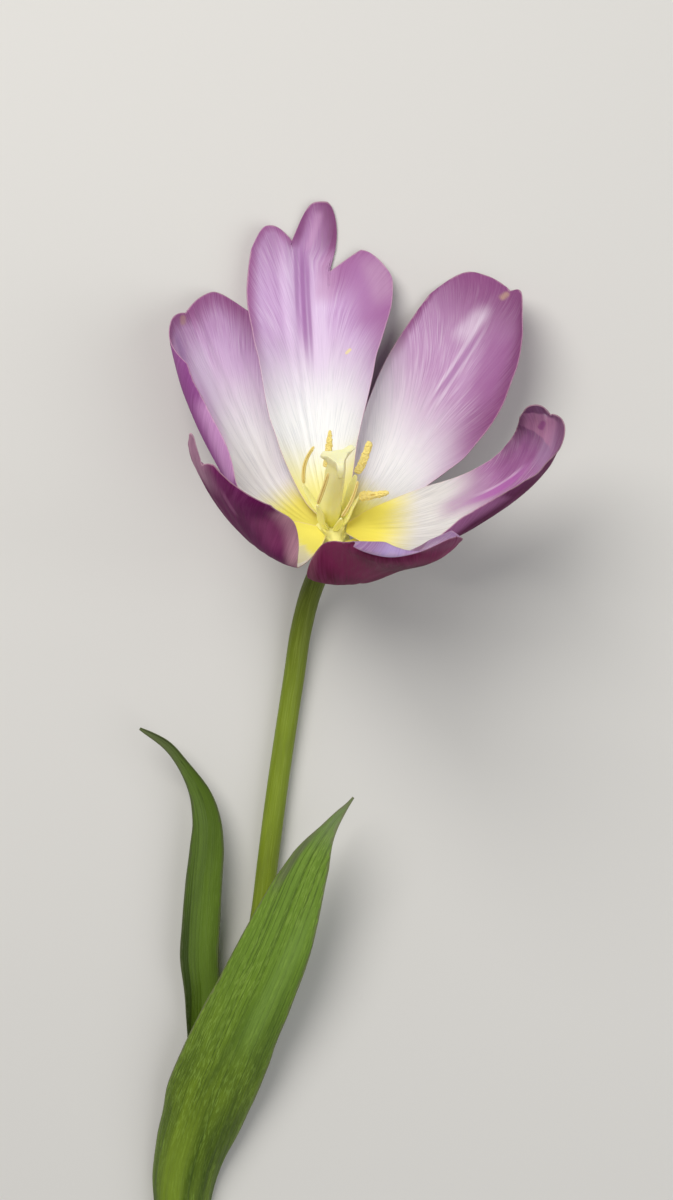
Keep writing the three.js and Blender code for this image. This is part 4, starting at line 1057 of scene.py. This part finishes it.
# foot: direction; top of the stalk and tip of the pollen bag in the flower's frame; wide: half width of
# the bag at its base, middle and tip; bow: how far it bends to its right; shed: share of its face covered
# with loose pollen; broad: half widths of the stalk at the places of knots4, and thin across them.
knots4 = [0, 0.2, 0.7, 1]
stamens = [
    {"foot": 150, "top": [-7.1, 4.2, 10.7], "tip": [-4.5, 8.7, 19], "wide": [0.52, 0.5, 0.42], "bow": -0.95,
     "shed": 0.2, "broad": [0.95, 1.1, 0.9, 0.35]},
    {"foot": 92, "top": [-1.6, 7.3, 13], "tip": [-0.7, 11.8, 21.4], "wide": [1.0, 0.8, 0.3], "bow": 0.1,
     "shed": 0.75, "broad": [0.95, 1.1, 1.0, 0.35]},
    {"foot": 40, "top": [5.4, 5.2, 13], "tip": [8.6, 8.8, 20.5], "wide": [1.0, 0.88, 0.8], "bow": 0.35,
     "shed": 1.1, "broad": [0.82, 1.15, 1.3, 0.5]},
    {"foot": -5, "top": [6.1, 0.7, 10.3], "tip": [13, -3, 14.8], "wide": [1.25, 0.85, 0.5], "bow": 0.15,
     "shed": 0.7, "broad": [0.82, 1.2, 1.2, 0.35]},
    {"foot": -70, "top": [1.9, -5.9, 9.2], "tip": [5.8, -3.4, 18.6], "wide": [0.5, 0.48, 0.4], "bow": 0.5,
     "shed": 0.15, "broad": [0.95, 1.1, 0.8, 0.3]},
    {"foot": -140, "top": [-3.7, -4.8, 12.4], "tip": [-1.1, -4.2, 21.8], "wide": [0.55, 0.55, 0.4], "bow": 0.1,
     "shed": 0.15, "broad": [1.0, 1.45, 1.3, 0.3]},
]
stalkShape = {"sides": 32, "steps": 60, "thin": [0.45, 0.5, 0.38, 0.25],
              "low": (1.0, 0.98, 0.64), "high": (1.0, 0.97, 0.66), "spots": (1.0, 0.98, 0.72)}
bagShape = {"sides": 72, "steps": 130, "grain": 0.22, "skin": (0.95, 0.88, 0.56), "groove": (0.8, 0.66, 0.3),
            "pollen": (0.97, 0.89, 0.52), "dust": (0.98, 0.92, 0.62)}


def filamentMaterial(look):
    material, tree = newMaterial("filamentSkin")
    share, spots = readLayer(tree, "alongShare"), noise(objectPoint(tree), 900.0, 3.0)
    colour = layered(display(*look["low"]), (share.ramp(0.5, 1), look["high"]),
                     (spots.ramp(0.45, 0.7, 0, 0.3), look["spots"]))
    return finishMaterial(material, colour, spots, [0.3, 0.1 * metre], {
        "Roughness": 0.4, "Subsurface Weight": 0.4, "Subsurface Radius": (1.4, 1.2, 0.4),
        "Subsurface Scale": metre})


def antherMaterial(look):
    material, tree = newMaterial("antherSkin")
    grain, groove = readLayer(tree, "grainHeight"), readLayer(tree, "grooveDepth")
    dust = noise(objectPoint(tree), 2600.0, 3.0)
    colour = layered(display(*look["skin"]), (groove, look["groove"]), (grain.ramp(0.15, 0.7), look["pollen"]),
                     (dust.ramp(0.5, 0.75, 0, 0.5), look["dust"]))
    return finishMaterial(material, colour, dust, [0.7, 0.12 * metre],
                          {"Roughness": 0.8, "Specular IOR Level": 0.2})


# A stalk is a flattened tube: its rings are ellipses, broad and thin by their place along it.
def stalkRings(s, shape):
    angle = np.radians(s["foot"])
    out = np.array([np.cos(angle), np.sin(angle), 0])
    foot, low, top = place([*2.3 * out[:2], 2.5]), place([*3.6 * out[:2], 4.8]), place(s["top"])
    line = spline([foot, low, foot + (top - foot) * 0.62, top], even(shape["steps"]))
    along = unit(np.gradient(line, axis=0))
    side = unit(np.cross(along, out @ flowerAxes))
    turn, t = circle(shape["sides"]), even(shape["steps"])[:, None]
    broad, thin = glide(knots4, s["broad"], t), glide(knots4, shape["thin"], t)
    offset = ((broad * np.cos(turn))[..., None] * side[:, None]
              + (thin * np.sin(turn))[..., None] * np.cross(side, along)[:, None])
    return line[:, None] + offset, t + 0 * turn


# A pollen bag is a round bar, bowed, with two deep grooves and two shallow ones; where it has shed,
# soft random bumps stand out of it.
def bagRings(s, shape, rng):
    top, tip = place(s["top"]), place(s["tip"])
    t, turn = even(shape["steps"]), circle(shape["sides"])
    length = np.linalg.norm(tip - top)
    way = (tip - top) / length
    side = unit(np.cross(way, [0, 0, 1]))
    bow = side * (s["bow"] * np.sin(np.pi * t))[:, None]
    line = top + way * 0.5 + (tip - top - way * 0.5) * t[:, None] + bow
    ends = glide([0, 0.03, 0.12, 0.88, 0.97, 1], [0.3, 0.8, 1, 1, 0.75, 0.15], t)
    profile = (ends * glide(knots3, s["wide"], t))[:, None]
    groove = (np.exp(-((np.mod(turn, np.pi) - np.pi / 2) / 0.28) ** 2)
              + 0.45 * np.exp(-((np.mod(turn + np.pi / 2, np.pi) - np.pi / 2) / 0.22) ** 2))
    rate = np.fft.fftfreq(len(t), length / len(t))[:, None], np.fft.fftfreq(len(turn), 5.5 / len(turn))[None]
    blur = np.exp(-(rate[0] ** 2 + rate[1] ** 2) * (2 * shape["grain"]) ** 2)
    grain = np.real(np.fft.ifft2(np.fft.fft2(rng.normal(size=(len(t), len(turn)))) * blur))
    grain = grain / grain.std()
    patch = smooth(-0.3, 0.5, waver(rng, t * length, 2.2)[:, None] + 2.2 * (s["shed"] - 0.5)
                   + 0.4 * waver(rng, turn * 2, 2))
    radius = profile * (1 - 0.3 * groove * (1 - 0.6 * patch))
    radius = radius + (ends[:, None] * 0.1) * np.clip(grain, -1.2, 2.2) * patch
    rings = ringsOn(line, radius, shape["sides"], (side[None], np.cross(side, way)[None]))
    return rings, np.clip((grain + 1.2) / 3, 0, 1) * patch, np.clip(groove * (1 - patch), 0, 1)


stalkSkin, bagSkin = filamentMaterial(stalkShape), antherMaterial(bagShape)
for number, s in enumerate(stamens, 1):
    rings, share = stalkRings(s, stalkShape)
    tubePiece(f"stalk{number}", rings, stalkSkin, f"filament_{number}", "filament", {"alongShare": share})
    rings, grain, groove = bagRings(s, bagShape, np.random.default_rng(40 + number))
    tubePiece(f"pollenBag{number}", rings, bagSkin, f"anther_{number}", "anther",
              {"grainHeight": grain, "grooveDepth": groove})
print("stamens:", len(stamens))


# camera, table and light

# height: of the picture in pixels; scaleAt: height of the bloom where pxPerMm holds; eye: camera's height
shot = {"height": 1200, "pxPerMm": 4.2, "scaleAt": 15, "eye": 800, "sensor": 36}
tableLook = {"size": 6.0, "drop": 0.00005, "colour": (0.83, 0.82, 0.8), "roughness": 0.6}
lights = {
    "key": {"at": (-0.35, 0.55, 0.85), "size": 0.7, "watts": 8.3, "colour": (1.0, 0.985, 0.96)},
    "fill": {"at": (0.6, -0.1, 0.7), "size": 0.9, "watts": 3.0, "colour": (0.96, 0.98, 1.0)},
}
aim = (0.0, 0.06, 0.02)
sky = {"colour": (0.9, 0.92, 0.95), "strength": 0.3}


# straight down on the flower; the lens follows from the picture's scale at the height of the bloom
def makeCamera():
    data = bpy.data.cameras.new("camera")
    data.sensor_fit = "VERTICAL"
    data.sensor_height = shot["sensor"]
    data.lens = shot["pxPerMm"] * (shot["eye"] - shot["scaleAt"]) / shot["height"] * shot["sensor"]
    bpy.context.scene.camera = makeObject("camera", data)
    bpy.context.scene.camera.location = toRow([0, 0, shot["eye"]])


def makeTable():
    half = tableLook["size"] / 2
    mesh = bpy.data.meshes.new("table")
    corners = [(-half, -half, 0), (half, -half, 0), (half, half, 0), (-half, half, 0)]
    mesh.from_pydata(corners, [], [(0, 1, 2, 3)])
    table = makeObject("table", mesh)
    table.location.z = -tableLook["drop"]
    material, tree = newMaterial("tableTop")
    setInputs(tree.nodes["Principled BSDF"], {"Base Color": display(*tableLook["colour"]),
                                              "Roughness": tableLook["roughness"]})
    mesh.materials.append(material)
    table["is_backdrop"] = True


def makeLights():
    for name, light in lights.items():
        data = bpy.data.lights.new(name, "AREA")
        data.shape = "DISK"
        data.size = light["size"]
        data.energy = light["watts"]
        data.color = light["colour"]
        lamp = makeObject(name, data)
        lamp.location = light["at"]
        lamp.rotation_euler = (Vector(aim) - Vector(light["at"])).to_track_quat("-Z", "Y").to_euler()
    world = bpy.data.worlds.new("studio")
    world.use_nodes = True
    setInputs(world.node_tree.nodes["Background"], {0: (*sky["colour"], 1), 1: sky["strength"]})
    bpy.context.scene.world = world
    bpy.context.scene.view_settings.view_transform = "Standard"


makeCamera()
makeTable()
makeLights()
print("camera, table and light")

low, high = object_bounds()
